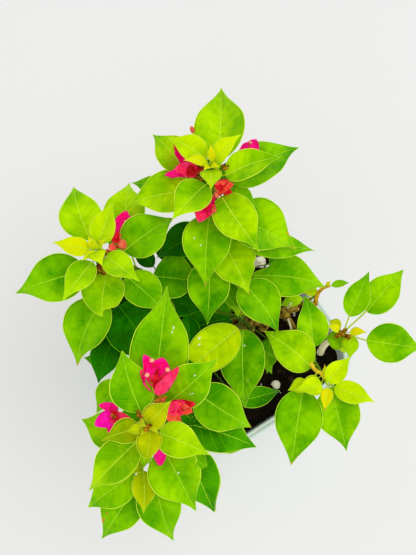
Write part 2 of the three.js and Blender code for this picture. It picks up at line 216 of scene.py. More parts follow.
def inPlace(points):
    # From the plant's frame in millimetres to the object's frame in metres
    a = np.radians(growth["plantTurn"])
    turn = np.array([[np.cos(a), np.sin(a), 0], [-np.sin(a), np.cos(a), 0], [0, 0, 1]])
    return (np.asarray(points, float) @ turn) * millimetre


# Skins: rings of points joined into closed tubes, many at a time
def skin(rings):
    # rings has the shape (tubes, rings, points round a ring, 3); the ends are closed by one face each.
    # The sum of a . (b x c) over the faces, seen from each tube's middle, tells which way they face.
    tubes, rows, columns = rings.shape[:3]
    index = np.arange(tubes * rows * columns).reshape(tubes, rows, columns)
    beside = np.roll(index, -1, axis=2)
    quads = np.stack([index[:, :-1], beside[:, :-1], beside[:, 1:], index[:, 1:]], -1).reshape(-1, 4)
    caps = np.concatenate([index[:, 0, ::-1], index[:, -1]])
    centred = (rings - rings.mean(axis=(1, 2), keepdims=True)).reshape(-1, 3)
    a, b, c, d = (centred[quads[:, k]] for k in range(4))
    volume = np.sum(a * np.cross(b, c)) + np.sum(a * np.cross(c, d))
    if volume < 0:
        quads, caps = quads[:, ::-1], caps[:, ::-1]
    return rings.reshape(-1, 3), [quads, caps]


def putMesh(name, skins, material, body="root", nodes=(), turn=True):
    # Joins skins into one object, with its place in its mesh
    points, loops, totals = [], [], []
    first = 0
    for part, faceSets in skins:
        points.append(part)
        for faces in faceSets:
            loops.append((faces + first).ravel())
            totals.append(np.full(len(faces), faces.shape[1]))
        first += len(part)
    points = np.concatenate(points)
    placed = inPlace(points) if turn else points * millimetre
    loops, totals = np.concatenate(loops), np.concatenate(totals)
    mesh = bpy.data.meshes.new(name)
    mesh.vertices.add(len(placed))
    mesh.vertices.foreach_set("co", placed.astype(np.float32).ravel())
    mesh.loops.add(len(loops))
    mesh.loops.foreach_set("vertex_index", loops.astype(np.int32))
    mesh.polygons.add(len(totals))
    mesh.polygons.foreach_set("loop_start", (np.cumsum(totals) - totals).astype(np.int32))
    mesh.polygons.foreach_set("use_smooth", np.ones(len(totals), bool))
    mesh.update(calc_edges=True)
    mesh.validate()
    mesh.materials.append(material)
    piece = linked(name, mesh)
    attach(piece, body)
    if nodes:
        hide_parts(*nodes)
    print(name, "has", int(np.sum(totals - 2)), "triangles")


# Curves through points, as the limbs of the solids have them
def makeCurve(route):
    # Uniform Catmull-Rom curve with straight-on ends, and its lengths at even steps
    p = np.array(route, float)
    p = np.concatenate([[2 * p[0] - p[1]], p, [2 * p[-1] - p[-2]]])
    curve = {"points": p}
    steps = rawPoint(curve, np.linspace(0, 1, curveSteps))
    lengths = np.linalg.norm(np.diff(steps, axis=0), axis=1)
    curve["lengths"] = np.concatenate([[0], np.cumsum(lengths)])
    curve["length"] = curve["lengths"][-1]
    return curve


def rawPoint(curve, t):
    # Cubic through each pair of points, with half the chord of its neighbours as the slope
    p = curve["points"]
    spans = len(p) - 3
    place = np.clip(np.asarray(t, float) * spans, 0, spans)
    span = np.minimum(place.astype(int), spans - 1)
    w = (place - span)[..., None]
    a, b, c, d = p[span], p[span + 1], p[span + 2], p[span + 3]
    slopeB, slopeC = 0.5 * (c - a), 0.5 * (d - b)
    return (b + slopeB * w + (3 * (c - b) - 2 * slopeB - slopeC) * w ** 2
            + (2 * (b - c) + slopeB + slopeC) * w ** 3)


def pointAt(curve, share):
    # Point at a share of the length
    target = np.asarray(share, float) * curve["length"]
    return rawPoint(curve, np.interp(target, curve["lengths"], np.linspace(0, 1, curveSteps)))


def carried(path):
    # Two directions square to a path at each of its points, turned as little as possible
    tangents = unit(np.gradient(path, axis=0))
    first = np.cross(tangents[0], upward if abs(tangents[0][2]) < 0.9 else rightward)
    across = [first / np.linalg.norm(first)]
    for tangent in tangents[1:]:
        onward = across[-1] - tangent * np.dot(across[-1], tangent)
        across.append(onward / np.linalg.norm(onward))
    across = np.array(across)
    return across, np.cross(tangents, across)


def circleOf(across, over, sides):
    # Directions round a path: the first times the cosine plus the second times the sine of even angles
    angle = np.linspace(0, 2 * np.pi, sides, endpoint=False)
    return across[:, None] * np.cos(angle)[None, :, None] + over[:, None] * np.sin(angle)[None, :, None]


def tube(path, radius, sides):
    # Rings round a path; radius is an array (rings, sides) or (rings, 1)
    ring = circleOf(*carried(path), sides)
    return path[:, None] + ring * np.broadcast_to(radius, (len(path), sides))[..., None]


def rods(starts, ends, radii, sag, sides):
    # Many short tubes at once, from starts to ends, bowed down by a share of their length; radii along
    # them are the same for all or a row for each
    starts, ends = np.asarray(starts, float), np.asarray(ends, float)
    radii = np.broadcast_to(radii, (len(starts), np.shape(radii)[-1]))
    t = np.linspace(0, 1, radii.shape[1])
    along = ends - starts
    length = np.linalg.norm(along, axis=1)
    direction = along / np.maximum(length, leastLength)[:, None]
    across = unit(np.cross(direction, np.where(np.abs(direction[:, 2:]) < 0.9, upward, rightward)))
    over = np.cross(across, direction)
    path = starts[:, None] + along[:, None] * t[None, :, None]
    path = path - over[:, None] * (sag * length[:, None] * 4 * t * (1 - t))[..., None]
    return path[:, :, None] + circleOf(across, over, sides)[:, None] * radii[:, :, None, None]


def ballOf(latitudes, longitudes):
    # A unit ball as (latitudes, longitudes, 3), from the cosines and sines of the two angles
    lat, lon = np.meshgrid(np.radians(latitudes), np.radians(longitudes), indexing="ij")
    return np.stack([np.cos(lat) * np.cos(lon), np.cos(lat) * np.sin(lon), np.sin(lat)], -1)


# Materials
# The sockets of the mottle group and what they are unless a look sets them
mottleSet = {
    "Colour": (1, 1, 1, 1),
    "Patch Colour": (1, 1, 1, 1),
    "Patch Scale": 60,
    "Grain Scale": 900,
    "Patch Share": 0.5,
    "Grain Depth": 0.1,
    "Roughness": 0.5,
    "Roughness Spread": 0.1,
}


def nodeOf(tree, kind, settings=None, **values):
    # A new node with its properties and the values of its sockets
    made = tree.nodes.new(kind)
    for name, value in values.items():
        setattr(made, name, value)
    for name, value in (settings or {}).items():
        made.inputs[name].default_value = value
    return made


def makeMottle():
    # Two colours mixed by soft patches and fine grain, with a bump and a roughness that follow them
    group = bpy.data.node_groups.new("mottle", "ShaderNodeTree")
    for name, value in mottleSet.items():
        kind = "NodeSocketColor" if isinstance(value, tuple) else "NodeSocketFloat"
        group.interface.new_socket(name, in_out="INPUT", socket_type=kind).default_value = value
    for name, kind in (("Colour", "Color"), ("Roughness", "Float"), ("Normal", "Vector")):
        group.interface.new_socket(name, in_out="OUTPUT", socket_type="NodeSocket" + kind)
    takes, gives = nodeOf(group, "NodeGroupInput"), nodeOf(group, "NodeGroupOutput")
    place = nodeOf(group, "ShaderNodeTexCoord")
    patch = nodeOf(group, "ShaderNodeTexNoise", {"Detail": 4, "Roughness": 0.6})
    grain = nodeOf(group, "ShaderNodeTexNoise", {"Detail": 2})
    spread = nodeOf(group, "ShaderNodeMapRange", {"From Min": 0.38, "From Max": 0.62})
    amount = nodeOf(group, "ShaderNodeMath", operation="MULTIPLY")
    mixed = nodeOf(group, "ShaderNodeMix", data_type="RGBA")
    rough = nodeOf(group, "ShaderNodeMath", operation="MULTIPLY_ADD")
    bump = nodeOf(group, "ShaderNodeBump", {"Distance": 0.0004})
    for source, output, target, entry in (
        (place, "Object", patch, "Vector"),
        (place, "Object", grain, "Vector"),
        (takes, "Patch Scale", patch, "Scale"),
        (takes, "Grain Scale", grain, "Scale"),
        (patch, "Fac", spread, "Value"),
        (spread, "Result", amount, 0),
        (takes, "Patch Share", amount, 1),
        (amount, 0, mixed, "Factor"),
        (takes, "Colour", mixed, 6),
        (takes, "Patch Colour", mixed, 7),
        (grain, "Fac", rough, 0),
        (takes, "Roughness Spread", rough, 1),
        (takes, "Roughness", rough, 2),
        (grain, "Fac", bump, "Height"),
        (takes, "Grain Depth", bump, "Strength"),
        (mixed, 2, gives, "Colour"),
        (rough, 0, gives, "Roughness"),
        (bump, "Normal", gives, "Normal"),
    ):
        group.links.new(source.outputs[output], target.inputs[entry])
    return group


mottle = makeMottle()
dullSurface = {"Specular IOR Level": 0.08, "Specular Tint": (1.0, 0.8, 0.5, 1)}
leafGloss = {"Specular IOR Level": 0.3, "Specular Tint": (0.4, 1.0, 0.02, 1)}


def finish(name, color, patchColor, shaderSet=None, **groupSet):
    # A Principled surface fed by the mottle group; groupSet sets the group's sockets
    material = bpy.data.materials.new(name)
    material.use_nodes = True
    tree = material.node_tree
    shader = tree.nodes["Principled BSDF"]
    group = nodeOf(tree, "ShaderNodeGroup", node_tree=mottle)
    group.inputs["Colour"].default_value = (*color, 1)
    group.inputs["Patch Colour"].default_value = (*patchColor, 1)
    for key, value in groupSet.items():
        group.inputs[key.replace("_", " ").title()].default_value = value
    for key, value in (shaderSet or {}).items():
        shader.inputs[key].default_value = value
    for socket, target in (("Colour", "Base Color"), ("Roughness", "Roughness"), ("Normal", "Normal")):
        tree.links.new(group.outputs[socket], shader.inputs[target])
    return material


# Pot
potSet = {
    "footHalf": 69,
    "footFlat": 9,
    "footRound": 2.5,
    "rimCorner": 30,
    "footCorner": 22,
    "cornerInset": 0.8,
    "cornerShares": (0.3, 0.98),
    "cornerReach": 20,
    "cornerSteps": 20,
    "wall": 4,
    "wallRows": 24,
    "lipDepth": 13,
    "lipWidth": 7,
    "lipOut": 2.4,
    "lipRows": 8,
    "lipStep": (0.25, 0.6, 1.5),
    "lipRound": (1.2, 1.3),
    "lipFace": (2.2, 3),
    "rimRound": 1.9,
    "rimGroove": [(3.2, 0.15), (3.6, 0.75), (4.1, 0.75), (4.5, 0.15)],
    "innerRound": (1.3, 1.6, 1.5),
    "innerTop": 4.5,
    "innerRows": 6,
    "waist": 60,
    "floorThick": 5,
    "floorRound": (3, 0.4),
    "middle": 1,
    "color": (0.72, 0.87, 0.80),
    "paleColor": (0.84, 0.91, 0.86),
}


def roundSquare(half, corner, height):
    # Four arcs of a corner radius, whose middles lie inside the corners of a square
    steps = potSet["cornerSteps"]
    side = np.repeat(np.arange(4), steps + 1)
    turn = np.tile(np.linspace(0, 90, steps + 1), 4)
    middle = heading(45 + 90 * side, 0) * np.sqrt(2)
    arc = heading(90 * side + turn, 0)
    half, corner, height = (np.asarray(x, float)[:, None, None] for x in (half, corner, height))
    return arc * corner + middle * (half - corner) + upward * height


def wallHalf(z):
    # Half width of the pot's outer face at a height: straight from the foot to just under the lip's face
    s = potSet
    return s["footHalf"] + (potHalf - s["lipOut"] - s["footHalf"]) * z / potHeight


def cornerOf(half, z):
    # Corner radius: the foot's, growing evenly to the rim's, less a share of how far in from the wall
    s = potSet
    even = s["footCorner"] + (s["rimCorner"] - s["footCorner"]) * z / potHeight
    return even - (wallHalf(z) - half) * s["cornerInset"]


def arcPath(middleIn, middleZ, radiusIn, radiusZ, start, end, steps):
    # Part of an ellipse as (half width, height) pairs, by cosine and sine between two angles
    a = np.radians(np.linspace(start, end, steps))
    return np.stack([middleIn + radiusIn * np.cos(a), middleZ + radiusZ * np.sin(a)], -1)


def potProfile():
    # Rows of (half width, height) from the middle of the underside, up the outside, over the lip and
    # down to the middle of the floor: straight walls between arcs of an ellipse
    s = potSet
    foot, wall, floor, top = s["footHalf"], s["wall"], s["floorThick"], potHeight
    footRound, rimRound = s["footRound"], s["rimRound"]
    lipFoot = top - s["lipDepth"]
    lipHalf = wallHalf(lipFoot) + s["lipOut"]
    stepOut, stepDown, wallEnd = s["lipStep"]
    lipIn, lipUp = s["lipRound"]
    outsideZ = np.linspace(footRound, lipFoot - wallEnd, s["wallRows"])
    outside = np.stack([wallHalf(outsideZ), outsideZ], -1)
    lipZ = np.linspace(lipFoot + s["lipFace"][0], top - s["lipFace"][1], s["lipRows"])
    lipFace = np.stack([lipHalf + (potHalf - lipHalf) * (lipZ - lipFoot) / s["lipDepth"], lipZ], -1)
    inner = potHalf - s["lipWidth"]
    innerIn, innerDown, innerUp = s["innerRound"]
    insideZ = np.linspace(top - s["innerTop"], soilTop, s["innerRows"])
    down = (top - insideZ) / (top - soilTop)
    inside = np.stack([inner + (wallHalf(soilTop) - wall - inner) * down, insideZ], -1)
    rise, inset = s["floorRound"]
    return np.concatenate([
        [[s["middle"], 0], [foot - s["footFlat"], 0]],
        arcPath(foot - footRound, footRound, footRound, footRound, -90, 0, 6),
        outside[1:],
        [[wallHalf(lipFoot) + stepOut, lipFoot - stepDown]],
        arcPath(lipHalf - lipIn, lipFoot + lipUp, lipIn, lipUp, -90, 0, 5),
        lipFace,
        arcPath(potHalf - rimRound, top - rimRound, rimRound, rimRound, 0, 90, 7),
        [[potHalf - back, top - below] for back, below in s["rimGroove"]],
        arcPath(inner + innerIn, top - innerDown, innerIn, innerUp, 90, 180, 6),
        inside[1:],
        [[wallHalf(s["waist"]) - wall, s["waist"]], [wallHalf(floor + rise) - wall - inset, floor + rise],
         [wallHalf(floor) - wall - rise, floor], [s["middle"], floor]],
    ])


def makePot():
    # One skin of rounded squares, a ring for each row of the profile
    s = potSet
    half, z = potProfile().T
    least, most = s["cornerShares"]
    corner = np.clip(cornerOf(half, z), least * half.clip(max=s["cornerReach"]), most * half)
    glaze = finish("potGlaze", s["color"], s["paleColor"], {"Coat Weight": 0.6}, patch_scale=14,
                   patch_share=0.55, grain_scale=500, grain_depth=0.05, roughness=0.1, roughness_spread=0.14)
    putMesh("glazed_pot", [skin(roundSquare(half, corner, z)[None])], glaze, nodes=["pot"],
            turn=False)


# Soil
# Lumps of its bed: height and pitch. Loose bits: count, least size and spread, colours, flatness, seed.
soilSet = {
    "sunk": 1.6,
    "dip": 2.5,
    "crown": 0.93,
    "lumps": [(1.5, 14), (1.0, 5), (0.7, 2.2)],
    "lumpFade": 3,
    "edgeLumps": 0.35,
    "gap": 0.3,
    "rings": 44,
    "spiralAngle": 137.508,
    "shake": 40,
    "squareness": 0.72,
    "edgeRoom": 3,
    "scatterShare": 0.93,
    "seated": 0.4,
    # The soil's colours, which its crumbs share, are near black: dark soil, with painted shade of the crown
    # over it.
    "color": (0.004, 0.003, 0.0022),
    "patchColor": (0.013, 0.008, 0.005),
    "bits": {
        "soil_crumbs": (1200, 0.5, 1.7, (0.004, 0.003, 0.0022), (0.013, 0.008, 0.005), 0.8, 11),
        "soil_stones": (34, 0.6, 1.1, (0.6, 0.57, 0.5), (0.42, 0.36, 0.28), 0.8, 12),
        "soil_chips": (110, 0.8, 2.2, (0.022, 0.010, 0.003), (0.05, 0.03, 0.02), 0.35, 13),
    },
    "paleStones": [((21, 82, 126), 6.0), ((30, 76, 124), 3.6), ((34, -43, 124), 4.2)],
    "paleColor": (1.0, 0.96, 0.76),
    "palePatch": (0.62, 0.54, 0.34),
}
lumpSet = {
    "latitudes": (-72, -25, 25, 72),
    "sides": 6,
    "bulge": 0.35,
    "turn": 6.28,
    "leastStretch": 0.8,
    "stretchSpread": 0.6,
}


def soilHeight(points, share):
    # Sunk towards the wall, with lumps of three sizes that fade towards it
    s = soilSet
    lumps = sum(height * noise(points, pitch, seed) for seed, (height, pitch) in enumerate(s["lumps"], 1))
    level = soilTop - s["sunk"] - s["dip"] * smooth((share - s["crown"]) / (1 - s["crown"]))
    return level + lumps * np.clip(s["lumpFade"] * (1 - share) + s["edgeLumps"], 0, 1)


def scattered(count, seed, reach):
    # Spots spread evenly over the soil: a spiral by the golden angle, shaken
    s = soilSet
    order = np.arange(count)
    share = np.sqrt((order + 0.5) / count)
    flat = heading(order * s["spiralAngle"] + s["shake"] * wobble(order + seed), 0)
    square = 1 / np.max(np.abs(flat), axis=1) ** s["squareness"]
    return flat * (share * reach * square)[:, None], share


def lumpSkins(places, sizes, seed, flatten=0.7):
    # Small stones: a flattened ball of a few rings, each with its own bulges, turned and drawn out
    s = lumpSet
    ball = ballOf(s["latitudes"], np.arange(0, 360, 360 // s["sides"])) * (1, 1, flatten)
    ids = np.arange(len(places))
    cells = np.arange(ball[..., 0].size).reshape(ball.shape[:2])
    shape = ball[None] * (1 + s["bulge"] * (wobble(ids[:, None, None] * 31 + cells + seed) - 0.5))[..., None]
    turn = wobble(ids + seed)[:, None, None] * s["turn"]
    c, sn = np.cos(turn), np.sin(turn)
    shape = np.stack([shape[..., 0] * c - shape[..., 1] * sn, shape[..., 0] * sn + shape[..., 1] * c,
                      shape[..., 2]], -1)
    shape[..., 0] *= (s["leastStretch"] + s["stretchSpread"] * wobble(ids * 3 + seed))[:, None, None]
    return skin(places[:, None, None] + shape * np.asarray(sizes)[:, None, None, None])


def makeSoil():
    # The bed is rings from its middle to the wall and down inside the pot; loose bits lie on it
    s = soilSet
    edgeHalf = wallHalf(soilTop) - potSet["wall"] - s["gap"]
    share = np.linspace(0.01, 1, s["rings"])
    top = roundSquare(edgeHalf * share, cornerOf(edgeHalf, soilTop) * share, 0 * share)
    top[..., 2] = soilHeight(top, share[:, None])
    downZ = np.array([potSet["waist"], potSet["floorThick"] + s["gap"]])
    downHalf = wallHalf(downZ) - potSet["wall"] - s["gap"]
    sides = roundSquare(downHalf, cornerOf(downHalf, downZ), downZ)
    damp = finish("dampSoil", s["color"], s["patchColor"], dullSurface, patch_scale=160, patch_share=1,
                  grain_scale=1400, grain_depth=0.9, roughness=0.75, roughness_spread=0.2)
    putMesh("soil_bed", [skin(np.concatenate([top, sides])[None])], damp,
            nodes=["soil"], turn=False)
    pale = finish("paleStoneLook", s["paleColor"], s["palePatch"], dullSurface, patch_scale=120,
                  grain_scale=1500, grain_depth=0.6, roughness=0.8)
    stones = [knobSkin(place, size, seed) for seed, (place, size) in enumerate(s["paleStones"], 5)]
    putMesh("pale_stones", stones, pale)
    reach = (edgeHalf - s["edgeRoom"]) * s["scatterShare"]
    for name, (count, least, spread, color, patch, flatten, seed) in s["bits"].items():
        places, far = scattered(count, seed, reach)
        sizes = least + spread * wobble(np.arange(count) * 7 + seed) ** 2
        places[:, 2] = soilHeight(places, far) + sizes * flatten * s["seated"]
        look = finish(name + "Look", color, patch, dullSurface, patch_scale=300, grain_scale=1500,
                      grain_depth=0.6, roughness=0.7, roughness_spread=0.2)
        putMesh(name, [lumpSkins(places, sizes, seed, flatten)], look, turn=False)


# The growth rule of the solids
growth = {
    "plantTurn": -32,
    "leafArch": 0.055,
    "leafFold": 0.16,
    "leafRoll": 16,
    "firstWidth": 0.5,
    "widthGain": 0.02,
    "mostWidth": 0.62,
    "rootPower": 0.55,
    "tipPower": 1.2,
    "stalkShare": 0.26,
    "stalkLift": 24,
    "goldenAngle": 137.5,
    "stray": 24,
    "leastSize": 0.86,
    "sizeSpread": 0.28,
    "droop": 6,
    "moreDroop": 14,
    "blossomLift": 22,
    "blossomTilt": 62,
    "bractWidth": 0.8,
    "bractTurn": 40,
    "leafSpace": 7,
    "ownSpace": 4,
    "sizes": (1, 0.8, 0.62),
    "potSide": 4,
    "potRim": 5,
    "ground": 25,
    "lowestNode": 0.03,
    "massSeed": 53,
    "twigSeed": 23,
    "sampleRows": 7,
    "sampleStep": 5,
}
underSoil = soilTop - 4
trunkRoute = [[5, 17.5, underSoil], [3, 15, 140], [-1, 10, 156], [1, 9, 171]]
boughs = {
    "bough_back": {"route": [[1, 9, 164], [-2, 22, 186], [-9, 40, 212]], "radii": (4.4, 2.7)},
    "bough_left": {"route": [[1, 9, 160], [-17, 13, 182], [-38, 22, 208]], "radii": (4.2, 2.5)},
    "bough_front": {"route": [[1, 9, 166], [-10, -12, 184], [-28, -35, 204]], "radii": (4.4, 2.7)},
    "bough_right": {"route": [[1, 9, 162], [20, 17, 167], [38, 19, 174], [51, 21, 181]],
                    "radii": (4.6, 3.4)},
    "bough_right_front": {"route": [[37, 19, 174], [43, 6, 183], [46, -8, 194]], "radii": (2.9, 2.2)},
    "stem_corner": {"route": [[80, -11, underSoil], [79, -9, 145], [81, -8, 172], [84, -7, 186]],
                    "radii": (3.6, 2.2)},
}

# Each twig: its route, its leaves by bearing, length, rise and drop below the tip, and one letter for the
# tint of each, as leafSet has them. Leaves of the spiral rule follow, with the last letter. Blossoms of the
# solids, which keep room for themselves: bearing, distance, drop, bract length and opening.
masses = {
    "front": {"twigs": [
        {"route": [[-28, -35, 204], [-52, -67, 240], [-67, -90, 290], [-71, -95, 335]],
         "radii": (2.7, 1.1), "more": 4, "step": 10, "size": 54,
         "tints": "ooooofgbbfbbgmmmmmmm",
         "leaves": [
             [239, 10, 55, 0], [193, 15, 40, 1], [274, 25, 30, 3], [43, 28, 40, 5], [200, 29, 20, 8],
             [338, 40, 15, 11], [107, 47, 12, 15], [39, 50, 6, 19], [85, 74, 6, 23], [228, 47, 0, 28],
             [300, 52, 0, 33], [171, 46, -4, 39], [350, 56, -6, 62], [292, 56, -16, 56], [331, 54, -5, 66],
             [210, 50, -14, 88], [255, 50, -16, 104], [97, 50, -14, 142]],
         "blossoms": [[77, 35, 9, 19, 50], [166, 26, 10, 18, 40], [27, 25, 8, 18, 24],
                      [288, 20, 14, 15, 30]]},
        {"route": [[-58, -77, 278], [-70, -102, 286], [-79, -120, 302]],
         "radii": (1.5, 1), "more": 0, "step": 8, "size": 46, "tints": "ooobgggg",
         "leaves": [
             [150, 13, 35, 0], [20, 15, 25, 1], [270, 29, 5, 3], [214, 42, -4, 7], [291, 52, -8, 11],
             [240, 54, -12, 16], [180, 40, -10, 22]]}]},
    "back": {"twigs": [
        {"route": [[-9, 40, 212], [-17, 48, 240], [-25, 78, 286], [-30, 98, 322]],
         "radii": (2.7, 1.1), "more": 6, "step": 8, "size": 54,
         "tints": "yylllfffffgfbbfggbbdbdm",
         "leaves": [
             [97, 14, 60, 0], [184, 23, 35, 1], [36, 29, 38, 3], [269, 28, 40, 5], [163, 36, 22, 8],
             [12, 47, 14, 11], [231, 42, 10, 14], [84, 62, 4, 17], [306, 54, 0, 21], [140, 53, 2, 26],
             [29, 63, -2, 29], [190, 56, -2, 31], [267, 58, -8, 36], [323, 60, -6, 46], [298, 56, -12, 58],
             [263, 56, -8, 70], [306, 68, -6, 80], [350, 68, 0, 100], [337, 62, -10, 54], [110, 50, -10, 52],
             [150, 52, -14, 66], [204, 46, -10, 62], [20, 54, -14, 110]],
         "blossoms": [[190, 20, 8, 19, 24], [263, 30, 17, 16, 34], [306, 21, 9, 14, 26],
                      [23, 29, 9, 18, 44], [119, 27, 8, 8, 10]]}]},
    "left": {"twigs": [
        {"route": [[-38, 22, 208], [-72, 31, 238], [-104, 38, 272], [-114, 37, 302]],
         "radii": (2.5, 1.1), "more": 5, "step": 9, "size": 52,
         "tints": "yylffffggbfgggmmdddd",
         "leaves": [
             [20, 13, 60, 0], [169, 28, 22, 2], [67, 35, 26, 4], [327, 38, 18, 7], [239, 40, 14, 10],
             [114, 50, 6, 14], [265, 42, 0, 18], [37, 50, 0, 22], [205, 62, 0, 26], [318, 48, -5, 31],
             [88, 56, 0, 35], [242, 65, -10, 39], [354, 52, -6, 66], [110, 48, -8, 52], [270, 46, -14, 76],
             [30, 46, -14, 88], [282, 46, -4, 58], [244, 56, -14, 86], [216, 50, -16, 98]],
         "blossoms": [[46, 25, 8, 18, 34], [22, 17, 9, 10, 16], [5, 19, 12, 9, 14]]},
        {"route": [[-82, 33, 247], [-94, 4, 240], [-104, -31, 252]],
         "radii": (1.4, 0.9), "more": 2, "step": 8, "size": 44, "tints": "mdbdddd", "hearts": 0.3,
         "leaves": [
             [190, 34, 0, 0], [60, 26, 10, 2], [236, 38, -6, 5], [330, 44, -4, 9], [252, 54, -10, 14],
             [130, 44, -6, 20]]}]},
    "right": {"twigs": [
        {"route": [[46, -8, 194], [54, -24, 208], [61, -42, 220], [64, -53, 232]],
         "radii": (2.1, 1), "more": 3, "step": 7, "size": 34, "tints": "yyllllgbfbm",
         "leaves": [
             [120, 9, 70, 0], [257, 23, 30, 3], [38, 31, 22, 4], [197, 28, 22, 5], [338, 38, 10, 9],
             [215, 20, 0, 8], [253, 64, -3, 15], [284, 59, -5, 18], [143, 51, 8, 22], [97, 47, 12, 27]]}]},
    "corner": {"stalks": 0.44, "hearts": 0.6, "twigs": [
        {"route": [[84, -7, 186], [86, -6.5, 195], [88, -6, 204]],
         "radii": (2, 1.1), "more": 2, "step": 3, "size": 24, "tints": "yygbbfbyml",
         "leaves": [
             [166, 14, 35, 0], [356, 15, 30, 1], [65, 42, 24, 2], [47, 51, 16, 3], [347, 48, 4, 5],
             [276, 23, 8, 6], [225, 28, -5, 8], [120, 28, 0, 10]]}]},
    "middle": {"hearts": 0.5, "twigs": [
        {"route": [[0, 8, 175], [-2, 5, 200], [-5, 1, 234]],
         "radii": (2.2, 1.1), "more": 5, "step": 6, "size": 40, "tints": "fflgggmgg",
         "leaves": [
             [150, 14, 50, 0], [30, 16, 40, 2], [215, 67, 2, 5], [271, 68, -6, 8], [120, 34, 0, 14],
             [330, 36, -4, 26], [172, 40, 2, 14], [302, 52, -12, 20]]}]},
    "edge": {"hearts": 0.4, "twigs": [
        {"route": [[49, 20.6, 180], [64, 29, 186], [78, 40, 193]],
         "radii": (1.5, 0.8), "more": 2, "step": 7, "size": 24, "tints": "ygglfm",
         "leaves": [[40, 10, 40, 0], [5, 21, 0, 2], [160, 24, 10, 6], [300, 22, -10, 10]]}]},
}


